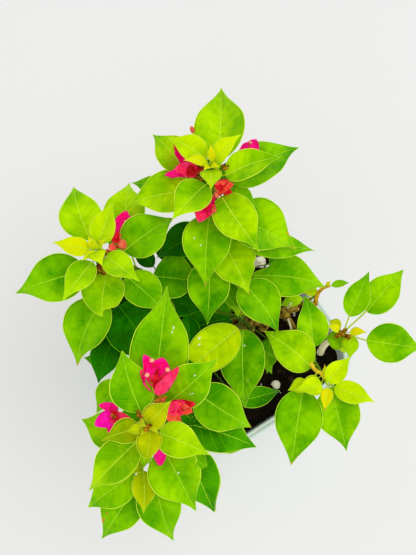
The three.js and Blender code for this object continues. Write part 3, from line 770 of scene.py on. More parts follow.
# Single leaves set to lie just so, by mass and twig and then by place in the list: where the blade starts,
# where its tip is, and its width as a share of its length
leafAims = {
    ("back", 0): {
        0: ((-29, 98, 325), (-30, 105, 337), 0.45), 1: ((-33, 96, 325), (-49, 93, 337), 0.46),
        2: ((-26, 98, 325), (-9, 110, 343), 0.51), 3: ((-30, 90, 325), (-30, 70, 338), 0.66),
        4: ((-33, 101, 321), (-61, 113, 332), 0.62), 5: ((-19, 89, 319), (20, 99, 330), 0.56),
        6: ((-34, 83, 316), (-58, 54, 321), 0.70), 7: ((-25, 103, 314), (-22, 165, 318), 0.63),
        8: ((-22, 77, 308), (6, 34, 308), 0.62), 9: ((-49, 97, 303), (-76, 132, 305), 0.60),
        10: ((-14, 91, 302), (40, 123, 300), 0.55), 11: ((-43, 87, 300), (-94, 76, 298), 0.65),
        12: ((-31, 68, 294), (-34, 13, 286), 0.66), 13: ((-12, 71, 286), (37, 45, 282), 0.80),
        14: ((-22, 55, 275), (1, 12, 264), 0.70), 15: ((-32, 39, 264), (-33, -11, 256), 0.67),
        16: ((-4, 24, 255), (25, -15, 249), 0.70), 17: ((5, 33, 244), (67, 24, 244), 0.58),
        18: ((-4, 48, 276), (55, 48, 268), 0.36), 22: ((21, 48, 228), (39, 59, 217), 0.62),
        23: ((-4, 65, 217), (18, 93, 201), 0.6), 20: ((-57, 94, 268), (-97, 110, 262), 0.45),
    },
    ("left", 0): {
        1: ((-120, 36, 304), (-146, 39, 313), 0.53), 2: ((-114, 41, 304), (-103, 67, 319), 0.63),
        3: ((-108, 32, 301), (-82, 10, 311), 0.58), 4: ((-119, 28, 298), (-138, -3, 305), 0.55),
        5: ((-122, 47, 294), (-137, 90, 299), 0.70), 6: ((-109, 24, 288), (-112, -11, 287), 0.93),
        7: ((-97, 40, 287), (-59, 68, 288), 0.75), 8: ((-126, 26, 283), (-180, 8, 283), 0.65),
        9: ((-96, 23, 276), (-66, -4, 271), 0.72), 10: ((-100, 56, 276), (-97, 104, 276), 0.71),
        11: ((-115, 8, 268), (-136, -44, 258), 0.66), 12: ((-77, 30, 252), (-37, 27, 246), 0.90),
    },
    ("left", 1): {
        0: ((-114, -38, 240), (-133, -35, 240), 0.55), 2: ((-100, -56, 253), (-119, -80, 249), 0.68),
        4: ((-108, -21, 250), (-120, -56, 243), 0.63),
    },
    ("front", 0): {
        1: ((-73, -96, 339), (-84, -98, 345), 0.53), 2: ((-69, -97, 337), (-70, -114, 345), 0.86),
        3: ((-71, -93, 336), (-56, -80, 352), 0.65), 4: ((-76, -95, 331), (-99, -103, 339), 0.64),
        5: ((-64, -98, 330), (-31, -112, 338), 0.60), 6: ((-76, -85, 329), (-89, -46, 338), 0.66),
        7: ((-59, -79, 326), (-26, -50, 334), 0.62), 8: ((-69, -76, 316), (-61, 3, 322), 0.50),
        9: ((-79, -102, 311), (-112, -135, 310), 0.57), 10: ((-63, -107, 307), (-40, -148, 306), 0.75),
        11: ((-86, -98, 298), (-122, -87, 295), 0.72), 12: ((-41, -67, 280), (0, -92, 275), 0.68),
        13: ((-48, -106, 278), (-27, -152, 266), 0.58), 14: ((-48, -89, 272), (4, -106, 268), 0.54),
        18: ((-7, -67, 208), (30, -57, 203), 0.45),
    },
    ("front", 1): {
        0: ((-77, -120, 305), (-84, -123, 309), 0.68), 1: ((-76, -119, 305), (-79, -107, 309), 0.46),
        2: ((-76, -122, 304), (-75, -149, 306), 0.61), 3: ((-82, -124, 300), (-114, -146, 298), 0.68),
        4: ((-69, -124, 298), (-56, -169, 291), 0.64), 5: ((-80, -127, 294), (-106, -168, 284), 0.59),
        6: ((-81, -106, 290), (-108, -110, 284), 0.60),
    },
    ("middle", 0): {
        2: ((-7, -10, 236), (-59, -54, 238), 0.50), 3: ((-3, -10, 231), (-2, -74, 224), 0.58),
        5: ((15, -16, 206), (39, -30, 204), 0.56), 7: ((22, -15, 208), (19, -43, 204), 0.55),
        8: ((5, 11, 203), (22, 23, 198), 0.60), 9: ((12, -13, 192), (25, -41, 186), 0.62),
    },
    ("right", 0): {
        0: ((63, -48, 236), (62, -41, 242), 0.45), 1: ((65, -59, 234), (60, -77, 242), 0.50),
        2: ((65, -54, 234), (82, -35, 246), 0.59), 3: ((60, -56, 233), (38, -61, 241), 0.69),
        4: ((71, -58, 230), (102, -70, 236), 0.54), 5: ((50, -55, 229), (33, -60, 228), 0.72),
        6: ((46, -58, 225), (35, -119, 221), 0.62), 7: ((69, -57, 223), (81, -108, 217), 0.67),
        8: ((54, -40, 223), (15, -11, 230), 0.66), 9: ((56, -23, 219), (51, 19, 230), 0.62),
        10: ((72, -56, 214), (91, -61, 212), 0.78),
    },
    ("corner", 0): {
        0: ((82, -6, 208), (71, -3, 214), 0.61), 1: ((91, -8, 208), (104, -9, 215), 0.54),
        2: ((90, 5, 215), (106, 41, 230), 0.51), 3: ((105, 9, 215), (136, 43, 229), 0.59),
        4: ((105, -15, 208), (152, -22, 211), 0.70), 5: ((92, -10, 203), (91, -30, 204), 0.74),
        6: ((88, -14, 199), (71, -10, 197), 1.05), 7: ((85, -2, 200), (75, 5, 198), 0.74),
        8: ((91, -9, 195), (100, -13, 192), 0.73), 9: ((83, -11, 190), (91, -23, 186), 0.63),
    },
    ("edge", 0): {
        0: ((75, 38, 195), (79, 41, 198), 0.60), 1: ((80, 38, 194), (97, 41, 194), 0.42),
        3: ((68, 33, 189), (53, 36, 186), 0.67), 4: ((54, 27, 190), (32, 21, 186), 0.46),
    },
}


def bulge(share, rootPower, tipPower):
    # A blade's half width along it: share to one power times the rest to another, 1 at its widest
    widest = rootPower / (rootPower + tipPower)
    peak = widest ** rootPower * (1 - widest) ** tipPower
    return share ** rootPower * (1 - share) ** tipPower / peak


def nodeBelow(curve, drop):
    # The place on a stem a drop below its tip
    return pointAt(curve, max(growth["lowestNode"], 1 - (drop + 1) / curve["length"]))


def leafTurn(seed):
    # How far a leaf is rolled about its length, in radians
    return np.radians(growth["leafRoll"] * (wobble(seed) - 0.5))


def bladeBetween(root, tip, breadth, turn):
    # A blade from one place to another, rolled about its length: its axes, length and width
    root, tip = np.array(root, float), np.array(tip, float)
    length = np.linalg.norm(tip - root)
    along = (tip - root) / length
    side = turned(unit(np.cross(along, upward)), along, turn)
    return {"root": root, "along": along, "side": side, "normal": np.cross(side, along),
            "length": length, "width": length * breadth}


def leafPlace(curve, order, stalks, row):
    # Where the stalk leaves the stem, where the blade starts, and the blade's three axes
    bearing, length, rise, drop = row
    g = growth
    seed = order * 7 + bearing
    node = nodeBelow(curve, drop)
    root = node + heading(bearing, rise + g["stalkLift"]) * stalks * length
    along = heading(bearing, rise)
    side = turned(unit(np.cross(along, upward)), along, leafTurn(seed))
    width = length * min(g["mostWidth"], g["firstWidth"] + g["widthGain"] * order)
    return {"node": node, "root": root, "along": along, "side": side, "normal": np.cross(side, along),
            "length": length, "width": width, "seed": seed}


def plainBlade(leaf, share, across):
    # The solids' blade: arched along, folded up from the midrib by a share of the half width
    g = growth
    half = 0.5 * leaf["width"] * bulge(share, g["rootPower"], g["tipPower"])
    lift = g["leafArch"] * 4 * share * (1 - share) * leaf["length"] + g["leafFold"] * half * np.abs(across)
    return (leaf["root"] + np.multiply.outer(leaf["length"] * share, leaf["along"])
            + np.multiply.outer(half * across, leaf["side"]) + np.multiply.outer(lift, leaf["normal"]))


def bladeSamples(leaf):
    # A blade as a few rows of five points
    share, across = np.meshgrid(np.arange(8) / growth["sampleRows"], [-1, -0.5, 0, 0.5, 1], indexing="ij")
    return plainBlade(leaf, share.ravel(), across.ravel())


def limbSamples(curve):
    # A stem as points at even steps
    count = int(np.ceil(curve["length"] / growth["sampleStep"]))
    return pointAt(curve, np.arange(count + 1) / count)


def blossomBracts(curve, order, row):
    # Three plain bracts round an axis, opened from it by an angle
    bearing, distance, drop, size, opening = row
    g = growth
    root = nodeBelow(curve, drop) + heading(bearing, g["blossomLift"]) * distance
    axis = heading(bearing, g["blossomTilt"])
    side = unit(np.cross(axis, upward))
    bracts = []
    for k in range(3):
        around = turned(side, axis, np.radians(120 * k + g["bractTurn"] * order))
        along = turned(axis, around, np.radians(-opening))
        bracts.append({"root": root, "along": along, "side": around, "normal": np.cross(around, along),
                       "length": size, "width": size * g["bractWidth"]})
    return bracts


def meetsPot(points):
    # True where a blade comes too near the pot or the ground
    g = growth
    far = np.max(np.abs((inPlace(points) * perMetre)[:, :2]), axis=1)
    near = (far < potHalf + g["potSide"]) & (points[:, 2] < potHeight + g["potRim"])
    return np.any(near) or np.any(points[:, 2] < g["ground"])


def isNear(points, others, space):
    # True where two sets of points come nearer than a space
    gaps = np.linalg.norm(points[:, None] - others[None], axis=2)
    return bool(np.any(gaps < space))


def leafRow(twig, order, seed):
    # A row of the list, or what the spiral rule gives below the last one
    g = growth
    listed = len(twig["leaves"])
    if order < listed:
        return twig["leaves"][order]
    bearing, _, _, drop = twig["leaves"][-1]
    below = order - listed + 1
    return [
        bearing - g["goldenAngle"] * below + g["stray"] * (wobble(seed) - 0.5),
        twig["size"] * (g["leastSize"] + g["sizeSpread"] * wobble(seed + 17)),
        -g["droop"] - g["moreDroop"] * wobble(seed + 29),
        drop + twig["step"] * below,
    ]


def othersThan(own, grown, woody):
    # Samples of all other masses and of the limbs
    return np.concatenate([mass["samples"] for mass in grown if mass is not own] + [woody])


def growLeaf(own, branch, order, others):
    # One leaf; those of the spiral rule get smaller until they fit, or are left out
    g = growth
    shoot = own["shoots"][branch]
    tints = shoot["twig"]["tints"]
    spiral = order >= len(shoot["twig"]["leaves"])
    seed = own["place"] * g["massSeed"] + branch * g["twigSeed"] + order
    bearing, length, rise, drop = leafRow(shoot["twig"], order, seed)
    for size in (g["sizes"] if spiral else (1,)):
        leaf = leafPlace(shoot["curve"], order, own["stalks"], [bearing, length * size, rise, drop])
        points = bladeSamples(leaf)
        if meetsPot(points) or isNear(points, others, g["leafSpace"]):
            continue
        if spiral and isNear(points, own["samples"], g["ownSpace"]):
            continue
        leaf["tint"] = tints[min(order, len(tints) - 1)]
        leaf["marks"] = leafMarks.get((own["name"], branch, order), {})
        shoot["leaves"].append(leaf)
        own["samples"] = np.concatenate([own["samples"], points])
        return


def growMasses():
    # All masses together, from the tips down; a leaf that comes too near another mass is left out.
    # Then the leaves of leafAims are set, and the samples taken again.
    limbs = [trunkRoute] + [bough["route"] for bough in boughs.values()]
    woody = np.concatenate([limbSamples(makeCurve(route)) for route in limbs])
    grown = []
    for place, (name, mass) in enumerate(masses.items()):
        own = {"name": name, "place": place, "stalks": mass.get("stalks", growth["stalkShare"]), "shoots": []}
        samples = []
        for twig in mass["twigs"]:
            curve = makeCurve(twig["route"])
            own["shoots"].append({"twig": twig, "curve": curve, "leaves": [], "sprigs": []})
            samples.append(limbSamples(curve))
            samples += [bladeSamples(bract) for order, row in enumerate(twig.get("blossoms", []))
                        for bract in blossomBracts(curve, order, row)]
        own["samples"] = np.concatenate(samples)
        grown.append(own)
    counts = {(own["place"], branch): len(shoot["twig"]["leaves"]) + shoot["twig"]["more"]
              for own in grown for branch, shoot in enumerate(own["shoots"])}
    for order in range(max(counts.values())):
        for own in grown:
            for branch in range(len(own["shoots"])):
                if order < counts[own["place"], branch]:
                    growLeaf(own, branch, order, othersThan(own, grown, woody))
    for own in grown:
        samples = []
        for branch, shoot in enumerate(own["shoots"]):
            for place, (root, tip, breadth) in leafAims.get((own["name"], branch), {}).items():
                leaf = shoot["leaves"][place]
                leaf.update(bladeBetween(root, tip, breadth, leafTurn(leaf["seed"])))
            samples += [bladeSamples(leaf) for leaf in shoot["leaves"]] + [limbSamples(shoot["curve"])]
        own["samples"] = np.concatenate(samples)
    return grown, woody


# Leaves
# A blade's rows follow its side veins: each row leaves the midrib and sweeps on towards the tip. Tints by
# letter: name, colour, patch colour and slot. Ribs: the tints they go with, and the colours of midribs,
# side veins and margins. Stalks: whether they stand in the shade, and two colours. What lies on a blade has
# its full size on a leaf of the length "full", between the two "sizes"; "heights" are over the blade.
leafSet = {
    "rootPower": 0.6,
    "tipPower": 1.0,
    "powerSpread": 0.14,
    "drawnFrom": 0.55,
    "drawnBy": 0.5,
    "drawnSpread": 0.3,
    "arch": 0.055,
    "fold": 0.32,
    "foldSoft": 0.12,
    "quilt": 0.02,
    "quiltFrom": 42,
    "quiltPower": 0.8,
    "wave": 0.013,
    "waves": 1.4,
    "waveShift": 0.3,
    "curl": 0.07,
    "curlFrom": 0.62,
    "bend": 0.035,
    "twist": 14,
    "thick": 0.34,
    "thickFrom": 30,
    "sweep": 0.24,
    "sweepPower": 1.2,
    "firstRows": (0.003, 0.018),
    "lastRows": (0.915, 0.95, 0.98, 0.999),
    "columns": (-1, -0.88, -0.7, -0.5, -0.3, -0.12, 0, 0.12, 0.3, 0.5, 0.7, 0.88, 1),
    "underColumns": (0.78, 0.45, 0.15, 0, -0.15, -0.45, -0.78),
    "midrib": {"full": 45, "sizes": (0.3, 1.15), "breadth": (0.78, 0.5), "heights": (-0.12, 0.3, -0.12),
               "to": 0.93},
    "sideVein": {"full": 45, "sizes": (0.45, 1.1), "breadth": (0.0062, 0.6), "heights": (-0.05, 0.1, -0.05),
                 "reach": 0.88},
    "margin": {"full": 42, "sizes": (0.35, 1.0), "out": (-0.62, -0.44, 0.1, 0.2),
               "heights": (-0.12, 0.16, 0.16, -0.14)},
    "stalk": {"radius": 0.8, "least": 0.4, "full": 70, "most": 1.05, "under": 0.02, "sag": 0.05, "sides": 6},
    "spot": {"sides": 9, "uneven": 0.3, "rings": (1, 0.92, 0.4), "heights": (-0.1, 0.1, 0.14)},
    "shell": {"across": (-1, -0.5, 0, 0.5, 1, 0.5, 0, -0.5), "out": (-0.34, 0, 0, 0, 0.34, 0, 0, 0),
              "heights": (0, 0.09, 0.09, 0.09, 0, -0.43, -0.43, -0.43)},
    "veinFirst": 0.07,
    "veinPitch": 0.125,
    "veinCount": 6,
    "fineFrom": 27,
    "shadeBelow": 245,
    "shadeLeftOf": 50,
    "ribs": {
        "light": ("ylof", (0.62, 0.88, 0.05), (0.40, 0.72, 0.0), (0.70, 0.92, 0.05)),
        "dark": ("bgm", (0.46, 0.80, 0.03), (0.24, 0.60, 0.0), (0.58, 0.88, 0.04)),
        # The deep ribs are dark as painted shade, like the deep leaves they go with.
        "deep": ("d", (0.06, 0.34, 0.0), (0.02, 0.22, 0.0), (0.12, 0.44, 0.0)),
    },
    "stalks": {
        "leaf_stalks": (False, (0.62, 0.78, 0.01), (0.44, 0.60, 0.01)),
        "shaded_stalks": (True, (0.06, 0.17, 0.004), (0.03, 0.10, 0.003)),
    },
    # The deep tint, and in part the middle one, is painted shade: the darkest greens go on leaves low in the
    # crown and in the shade between stems.
    "tints": {
        "y": ("leaves_yellow", (0.694, 0.763, 0), (0.897, 0.796, 0), "young_leaf"),
        "l": ("leaves_lime", (0.420, 0.686, 0), (0.708, 0.914, 0), "young_leaf"),
        "o": ("leaves_olive", (0.223, 0.377, 0), (0.562, 0.631, 0), "young_leaf"),
        "f": ("leaves_fresh", (0.171, 0.472, 0), (0.476, 0.803, 0), "leaf"),
        "b": ("leaves_bright", (0.104, 0.412, 0), (0.370, 0.734, 0), "leaf"),
        "g": ("leaves_green", (0.056, 0.322, 0), (0.267, 0.635, 0), "leaf"),
        "m": ("leaves_middle", (0.010, 0.185, 0), (0.080, 0.405, 0), "leaf"),
        "d": ("leaves_deep", (0.001, 0.094, 0), (0.010, 0.225, 0), "leaf"),
    },
}

# Marks on single leaves, by mass, twig and order. A bite: its place, half length, depth and side. A blunt
# leaf has a rounder tip. Dry tips start at a share of the length and are brown, as are spots; specks are
# pale; both by place along and across and a radius.
leafMarks = {
    ("left", 0, 6): {"blunt": 0.3, "bite": (0.93, 0.1, 0.9, -1)},
    ("left", 0, 7): {"dryTip": 0.93},
    ("left", 0, 11): {"dryTip": 0.94, "spots": [(0.72, -0.7, 1.2)]},
    ("front", 0, 10): {"bite": (0.45, 0.035, 0.14, -1), "specks": [(0.4, -0.1, 0.7)]},
    ("front", 0, 8): {"specks": [(0.50, 0.42, 0.8), (0.52, 0.5, 1.0)]},
    ("front", 0, 7): {"specks": [(0.55, -0.2, 0.6), (0.3, 0.35, 0.5), (0.32, 0.4, 0.5)]},
    ("front", 0, 2): {"blunt": 0.35},
    ("front", 1, 5): {"spots": [(0.55, 0.8, 1.7), (0.5, 0.55, 1.0)]},
    ("front", 0, 12): {"dryTip": 0.96},
    ("back", 0, 0): {"dryTip": 0.9},
    ("back", 0, 14): {"bite": (0.6, 0.035, 0.15, -1), "dryTip": 0.96},
    ("back", 0, 10): {"specks": [(0.5, -0.1, 0.5)]},
    ("back", 0, 17): {"bite": (0.12, 0.14, 0.6, -1)},
    ("corner", 0, 0): {"dryTip": 0.88},
    ("corner", 0, 1): {"dryTip": 0.9},
    ("back", 0, 12): {"dryTip": 0.95, "specks": [(0.29, 0.51, 0.6), (0.42, 0.24, 0.6)]},
    ("back", 0, 13): {"dryTip": 0.96, "spots": [(0.62, -0.86, 1.6), (0.9, 0.4, 1.2)]},
    ("right", 0, 6): {"dryTip": 0.955, "spots": [(0.75, -0.8, 1.3), (0.88, -0.6, 0.9)]},
    ("right", 0, 7): {"dryTip": 0.97, "spots": [(0.7, 0.85, 1.0)]},
    ("right", 0, 0): {"dryTip": 0.8},
    ("right", 0, 1): {"dryTip": 0.86},
    ("middle", 0, 2): {"specks": [(0.31, 0.80, 1.1), (0.39, 0.58, 1.0)]},
    ("middle", 0, 3): {"specks": [(0.2, -0.1, 0.8), (0.6, -0.3, 0.5)]},
}


def gathered(leaves, *keys):
    # One number or vector of each leaf, for every key, with two axes put in after the first
    return [np.array([leaf[key] for leaf in leaves], float)[:, None, None] for key in keys]


def bladePoints(leaves, forward, sideways, lift):
    # Root plus a way along, a way sideways and a lift along the normal
    root, along, side, normal = gathered(leaves, "root", "along", "side", "normal")
    return root + along * forward[..., None] + side * sideways[..., None] + normal * lift[..., None]


def sizeOf(surface, part):
    # Length over a full length, between two limits, for what gets thinner on small leaves
    return np.clip(surface["length"] / part["full"], *part["sizes"])


def gridOf(fine):
    # Rows at quarters of the pitch of the side veins, or halves; columns closest at the midrib
    s = leafSet
    phases = np.arange(-1, 4 * (s["veinCount"] + 0.5) + 1) / 4
    rows = np.concatenate([s["firstRows"], s["veinFirst"] + s["veinPitch"] * phases, s["lastRows"]])
    top, under = np.array(s["columns"]), np.array(s["underColumns"])
    if not fine:
        rows = np.concatenate([rows[:2], rows[3:-4:2], rows[-4:]])
        top, under = top[::2], under[1::2]
    return rows, top, under


def rowPlace(q, across):
    # Share of the length at a row and a column: the row's own plus a sweep that is strongest in the middle
    return q + leafSet["sweep"] * np.sin(np.pi * q) * np.abs(across) ** leafSet["sweepPower"]


def fineBlade(leaves, q, across, height=0.0):
    # Root plus length along, half width across and lift along the normal, for every leaf at once.
    # Lift: an arch, a soft fold up from the midrib, swellings between side veins, a wavy margin,
    # a twist, and a tip that curls down. q and across have the shape (leaves or 1, rows, columns).
    s = leafSet
    length, width, seed = gathered(leaves, "length", "width", "seed")
    marks = [leaf.get("marks", {}) for leaf in leaves]
    blunt = np.array([mark.get("blunt", 0) for mark in marks])[:, None, None]
    bites = np.array([mark.get("bite", (0.5, 1, 0, 1)) for mark in marks])
    place, reach, depth, sign = bites.T[..., None, None]
    share = rowPlace(q, across)
    spread = s["powerSpread"] * (wobble(seed + 1) - 0.5)
    drawn = np.where(blunt > 0, 0, s["drawnBy"] + s["drawnSpread"] * (wobble(seed + 2) - 0.5))
    half = 0.5 * width * bulge(share, s["rootPower"] + spread, (s["tipPower"] + spread) * (1 - blunt))
    half = half * (1 - drawn * smooth((share - s["drawnFrom"]) / (1 - s["drawnFrom"])))
    taken = depth * np.exp(-((share - place) / reach) ** 4)
    half = half * np.where(across * sign > 0, 1 - taken, 1)
    phase = (q - s["veinFirst"]) / s["veinPitch"]
    inside = smooth(5 * np.abs(across)) * (1 - across ** 2) * smooth(6 * q) * smooth(4 - 4 * q)
    inside = inside * np.clip(length / s["quiltFrom"], 0, 1) ** 3
    lift = s["arch"] * 4 * share * (1 - share) * length * (0.6 + 0.9 * wobble(seed + 3))
    folded = np.hypot(across, s["foldSoft"]) - s["foldSoft"]
    lift = lift + s["fold"] * (0.5 + wobble(seed + 5)) * half * folded
    lift = lift + s["quilt"] * length * np.abs(np.sin(np.pi * phase)) ** s["quiltPower"] * inside
    beat = s["waves"] * share + s["waveShift"] * np.sign(across) + wobble(seed + 7)
    lift = lift + s["wave"] * length * across ** 2 * np.sin(2 * np.pi * beat)
    lift = lift + half * across * np.sin(np.radians(s["twist"]) * (2 * wobble(seed + 9) - 1) * share)
    curled = smooth((share - s["curlFrom"]) / (1 - s["curlFrom"])) ** 2
    lift = lift - s["curl"] * length * (0.4 + wobble(seed + 11)) * curled
    drift = s["bend"] * length * (2 * wobble(seed + 13) - 1) * np.sin(np.pi * share)
    return bladePoints(leaves, length * share, half * across + drift, lift + height)


def bladeSurface(leaves, fine):
    # The top of each blade as a grid with its normals, for what lies on it, and the ring round each row.
    # Thickness: half above and half below, thinner on small leaves and towards the two ends.
    rows, top, under = gridOf(fine)
    q, across = np.meshgrid(rows, top, indexing="ij")
    length = gathered(leaves, "length")[0]
    thick = leafSet["thick"] * np.minimum(1, length / leafSet["thickFrom"])
    body = np.sqrt(np.clip(12 * rows * (1 - rows), 0.1, 1))[None, :, None]
    points = fineBlade(leaves, q[None], across[None], 0.5 * thick * body * (np.abs(across) < 1))
    outward = np.gradient(points, axis=2)
    normals = unit(np.cross(outward, np.gradient(points, axis=1)))
    lower = fineBlade(leaves, *np.meshgrid(rows, under, indexing="ij"), -0.5 * thick * body)
    return {"rows": rows, "top": top, "points": points, "normals": normals, "outward": unit(outward),
            "ring": np.concatenate([points, lower], 2), "length": length}


def onBlade(surface, q, across, height, sideways=0.0):
    # Points on the grid's own facets, raised by a height and moved outward: each is blended from the four
    # corners of its facet
    row = np.interp(q, surface["rows"], np.arange(len(surface["rows"])))
    column = np.interp(across, surface["top"], np.arange(len(surface["top"])))
    row, column = np.broadcast_arrays(row, column)
    i = np.minimum(row.astype(int), len(surface["rows"]) - 2)
    j = np.minimum(column.astype(int), len(surface["top"]) - 2)
    u, v = (row - i)[..., None], (column - j)[..., None]
    points, normals, outward = (
        grid[:, i, j] * (1 - u) * (1 - v) + grid[:, i + 1, j] * u * (1 - v)
        + grid[:, i, j + 1] * (1 - u) * v + grid[:, i + 1, j + 1] * u * v
        for grid in (surface["points"], surface["normals"], surface["outward"]))
    return points + normals * np.asarray(height)[..., None] + outward * np.asarray(sideways)[..., None]


def midribSkins(surface):
    # A ridge of three sides along the top, widest at the stalk: breadth less a share of the way along
    s = leafSet["midrib"]
    q = surface["rows"][surface["rows"] < s["to"]][:, None]
    size = sizeOf(surface, s)
    breadth = (s["breadth"][0] - s["breadth"][1] * q) * size
    height = np.array(s["heights"]) * size + 0 * q
    return [skin(onBlade(surface, q, 0 * q + np.zeros(3), height, breadth * np.array([-1, 0, 1])))]


def sideVeinSkins(surface):
    # Side veins in pairs, each a thin ridge along one row of the grid that narrows outward
    s = leafSet["sideVein"]
    t = np.linspace(0, 1, 6)[:, None]
    breadth = s["breadth"][0] * (1 - s["breadth"][1] * t) * np.array([-1, 0, 1])
    height = np.array(s["heights"]) * sizeOf(surface, s) + 0 * breadth
    starts = [leafSet["veinFirst"] + leafSet["veinPitch"] * pair for pair in range(leafSet["veinCount"])]
    return [skin(onBlade(surface, start + breadth, sign * s["reach"] * t + 0 * breadth, height))
            for start in starts for sign in (-1, 1)]


def marginSkins(surface):
    # A thin pale band along both edges, flat on top and just proud of the blade, from the stalk to the tip
    s = leafSet["margin"]
    q = surface["rows"][:, None]
    size = sizeOf(surface, s)
    height = np.array(s["heights"]) * size + 0 * q
    return [skin(onBlade(surface, q, sign + np.zeros(4), height, sign * np.array(s["out"]) * size + 0 * q))
            for sign in (-1, 1)]


def stalkSkins(leaves):
    # Stalks from the stem to a little way under the blade, thicker where they join the stem
    s = leafSet["stalk"]
    length, node, root, along = (each[:, 0] for each in gathered(leaves, "length", "node", "root", "along"))
    thick = s["radius"] * np.minimum(s["most"], s["least"] + length / s["full"])
    t = np.linspace(0, 1, 7)
    radii = thick * (0.78 + 0.5 * np.exp(-9 * t) + 0.12 * smooth((t - 0.8) / 0.2))
    ends = root[:, 0] + along[:, 0] * (s["under"] * length)
    return skin(rods(node[:, 0], ends, radii, s["sag"], s["sides"]))


def spotSkins(leaf, q, across, radius):
    # A low disc of uneven outline on a blade: three rings, each radius times the outline's wobble
    s = leafSet["spot"]
    angle = np.linspace(0, 2 * np.pi, s["sides"], endpoint=False)
    uneven = 1 + s["uneven"] * (wobble(angle * 7 + leaf["seed"] + radius) - 0.5)
    ring = radius * np.array(s["rings"])[:, None] * uneven
    forward = ring * np.cos(angle) / leaf["length"]
    height = np.array(s["heights"])[:, None] + 0 * angle
    surface = bladeSurface([leaf], True)
    return skin(onBlade(surface, q + forward, across + 0 * forward, height, ring * np.sin(angle)))


def tipSkins(leaf, start):
    # A shell over the tip of a blade, a little thicker than the blade
    q = np.linspace(start, leafSet["lastRows"][-1], 5)[:, None]
    across, out, height = (np.array(leafSet["shell"][key]) + 0 * q for key in ("across", "out", "heights"))
    return skin(onBlade(bladeSurface([leaf], True), q, across, height, out))


def inShade(leaf):
    # A deep green leaf, or one that leaves its stem low down and not over the pot's right side
    x, _, z = leaf["node"]
    return leaf["tint"] == "d" or (z < leafSet["shadeBelow"] and x < leafSet["shadeLeftOf"])


def makeLeaves(grown):
    # One piece for each tint, then the veins, stalks and marks of all leaves
    s = leafSet
    leaves = [leaf for mass in grown for shoot in mass["shoots"] for leaf in shoot["leaves"]]
    surfaces = {}
    for letter, (name, color, patch, slot) in s["tints"].items():
        skins = []
        for fine in (True, False):
            chosen = [leaf for leaf in leaves
                      if leaf["tint"] == letter and (leaf["length"] >= s["fineFrom"]) == fine]
            if chosen:
                surfaces[letter, fine] = bladeSurface(chosen, fine)
                skins.append(skin(surfaces[letter, fine]["ring"]))
        look = finish(name + "Look", color, patch, leafGloss, patch_scale=36, patch_share=1, grain_scale=1200,
                      grain_depth=0.1, roughness=0.36, roughness_spread=0.16)
        putMesh(name, skins, look, nodes=massNodes)
    for name, (letters, *colors) in s["ribs"].items():
        shown = [surface for (letter, fine), surface in surfaces.items() if letter in letters]
        large = [surface for (letter, fine), surface in surfaces.items() if letter in letters and fine]
        for part, maker, chosen, color in zip(("midribs", "side_veins", "margins"),
                                              (midribSkins, sideVeinSkins, marginSkins),
                                              (shown, large, shown), colors):
            skins = [each for surface in chosen for each in maker(surface)]
            look = finish(name + "_" + part + "_look", color, color, leafGloss, roughness=0.5)
            putMesh(name + "_" + part, skins, look, nodes=massNodes)
    for name, (shaded, color, patch) in s["stalks"].items():
        look = finish(name + "_look", color, patch, leafGloss, patch_scale=120, roughness=0.5)
        chosen = [leaf for leaf in leaves if inShade(leaf) == shaded]
        putMesh(name, [stalkSkins(chosen)], look, nodes=massNodes)
    marked = [(leaf, leaf["marks"]) for leaf in leaves if leaf.get("marks")]
    tips = [tipSkins(leaf, marks["dryTip"]) for leaf, marks in marked if "dryTip" in marks]
    spots, specks = ([spotSkins(leaf, *spot) for leaf, marks in marked for spot in marks.get(kind, [])]
                     for kind in ("spots", "specks"))
    dryLook = finish("dryLeafLook", (0.78, 0.26, 0.02), (0.62, 0.16, 0.01), patch_scale=500, roughness=0.7)
    speckLook = finish("paleSpeckLook", (1.0, 0.98, 0.84), (0.95, 0.92, 0.66), patch_scale=500, roughness=0.7)
    putMesh("dry_leaf_tips", spots + tips, dryLook, nodes=massNodes)
    putMesh("pale_specks", specks, speckLook, nodes=massNodes)
    print(len(leaves), "leaves")


# Side twigs with smaller leaves, and the small leaves at each tip, its hearts. Reach, rise, leafSize and
# leafRise are a least and a spread; the leaves of a twig stand at turns from its own bearing.
sprigSet = {
    "firstSeed": 900,
    "massSeed": 71,
    "twigSeed": 31,
    "spotSeed": 3,
    "innerSeed": 311,
    "pitch": 9,
    "lowest": 0.2,
    "belowTip": 58,
    "belowShortTip": 36,
    "reach": (9, 20),
    "rise": (5, 50),
    "leafSize": (15, 17),
    "leafRise": (-8, 18),
    "leafTurns": (0, 100, -100),
    "leafStray": 40,
    "leafOrder": 5,
    "stalks": 0.2,
    "backBy": 0.3,
    "ownSpace": 2.6,
    "otherSpace": 5,
    "shade": 8,
    "lean": 0.29,
    "shadeDepths": (-3, 5),
    "longStem": 100,
    "middleFrom": 0.5,
    "innerStalk": 0.16,
    "innerDrop": 1.5,
    "heartStalks": 0.1,
    "heartTurn": 77,
    "heartDrop": 0.2,
    "heartSizes": (3.5, 4.6, 6.0, 7.2),
    "heartRises": (80, 70, 56, 44),
}

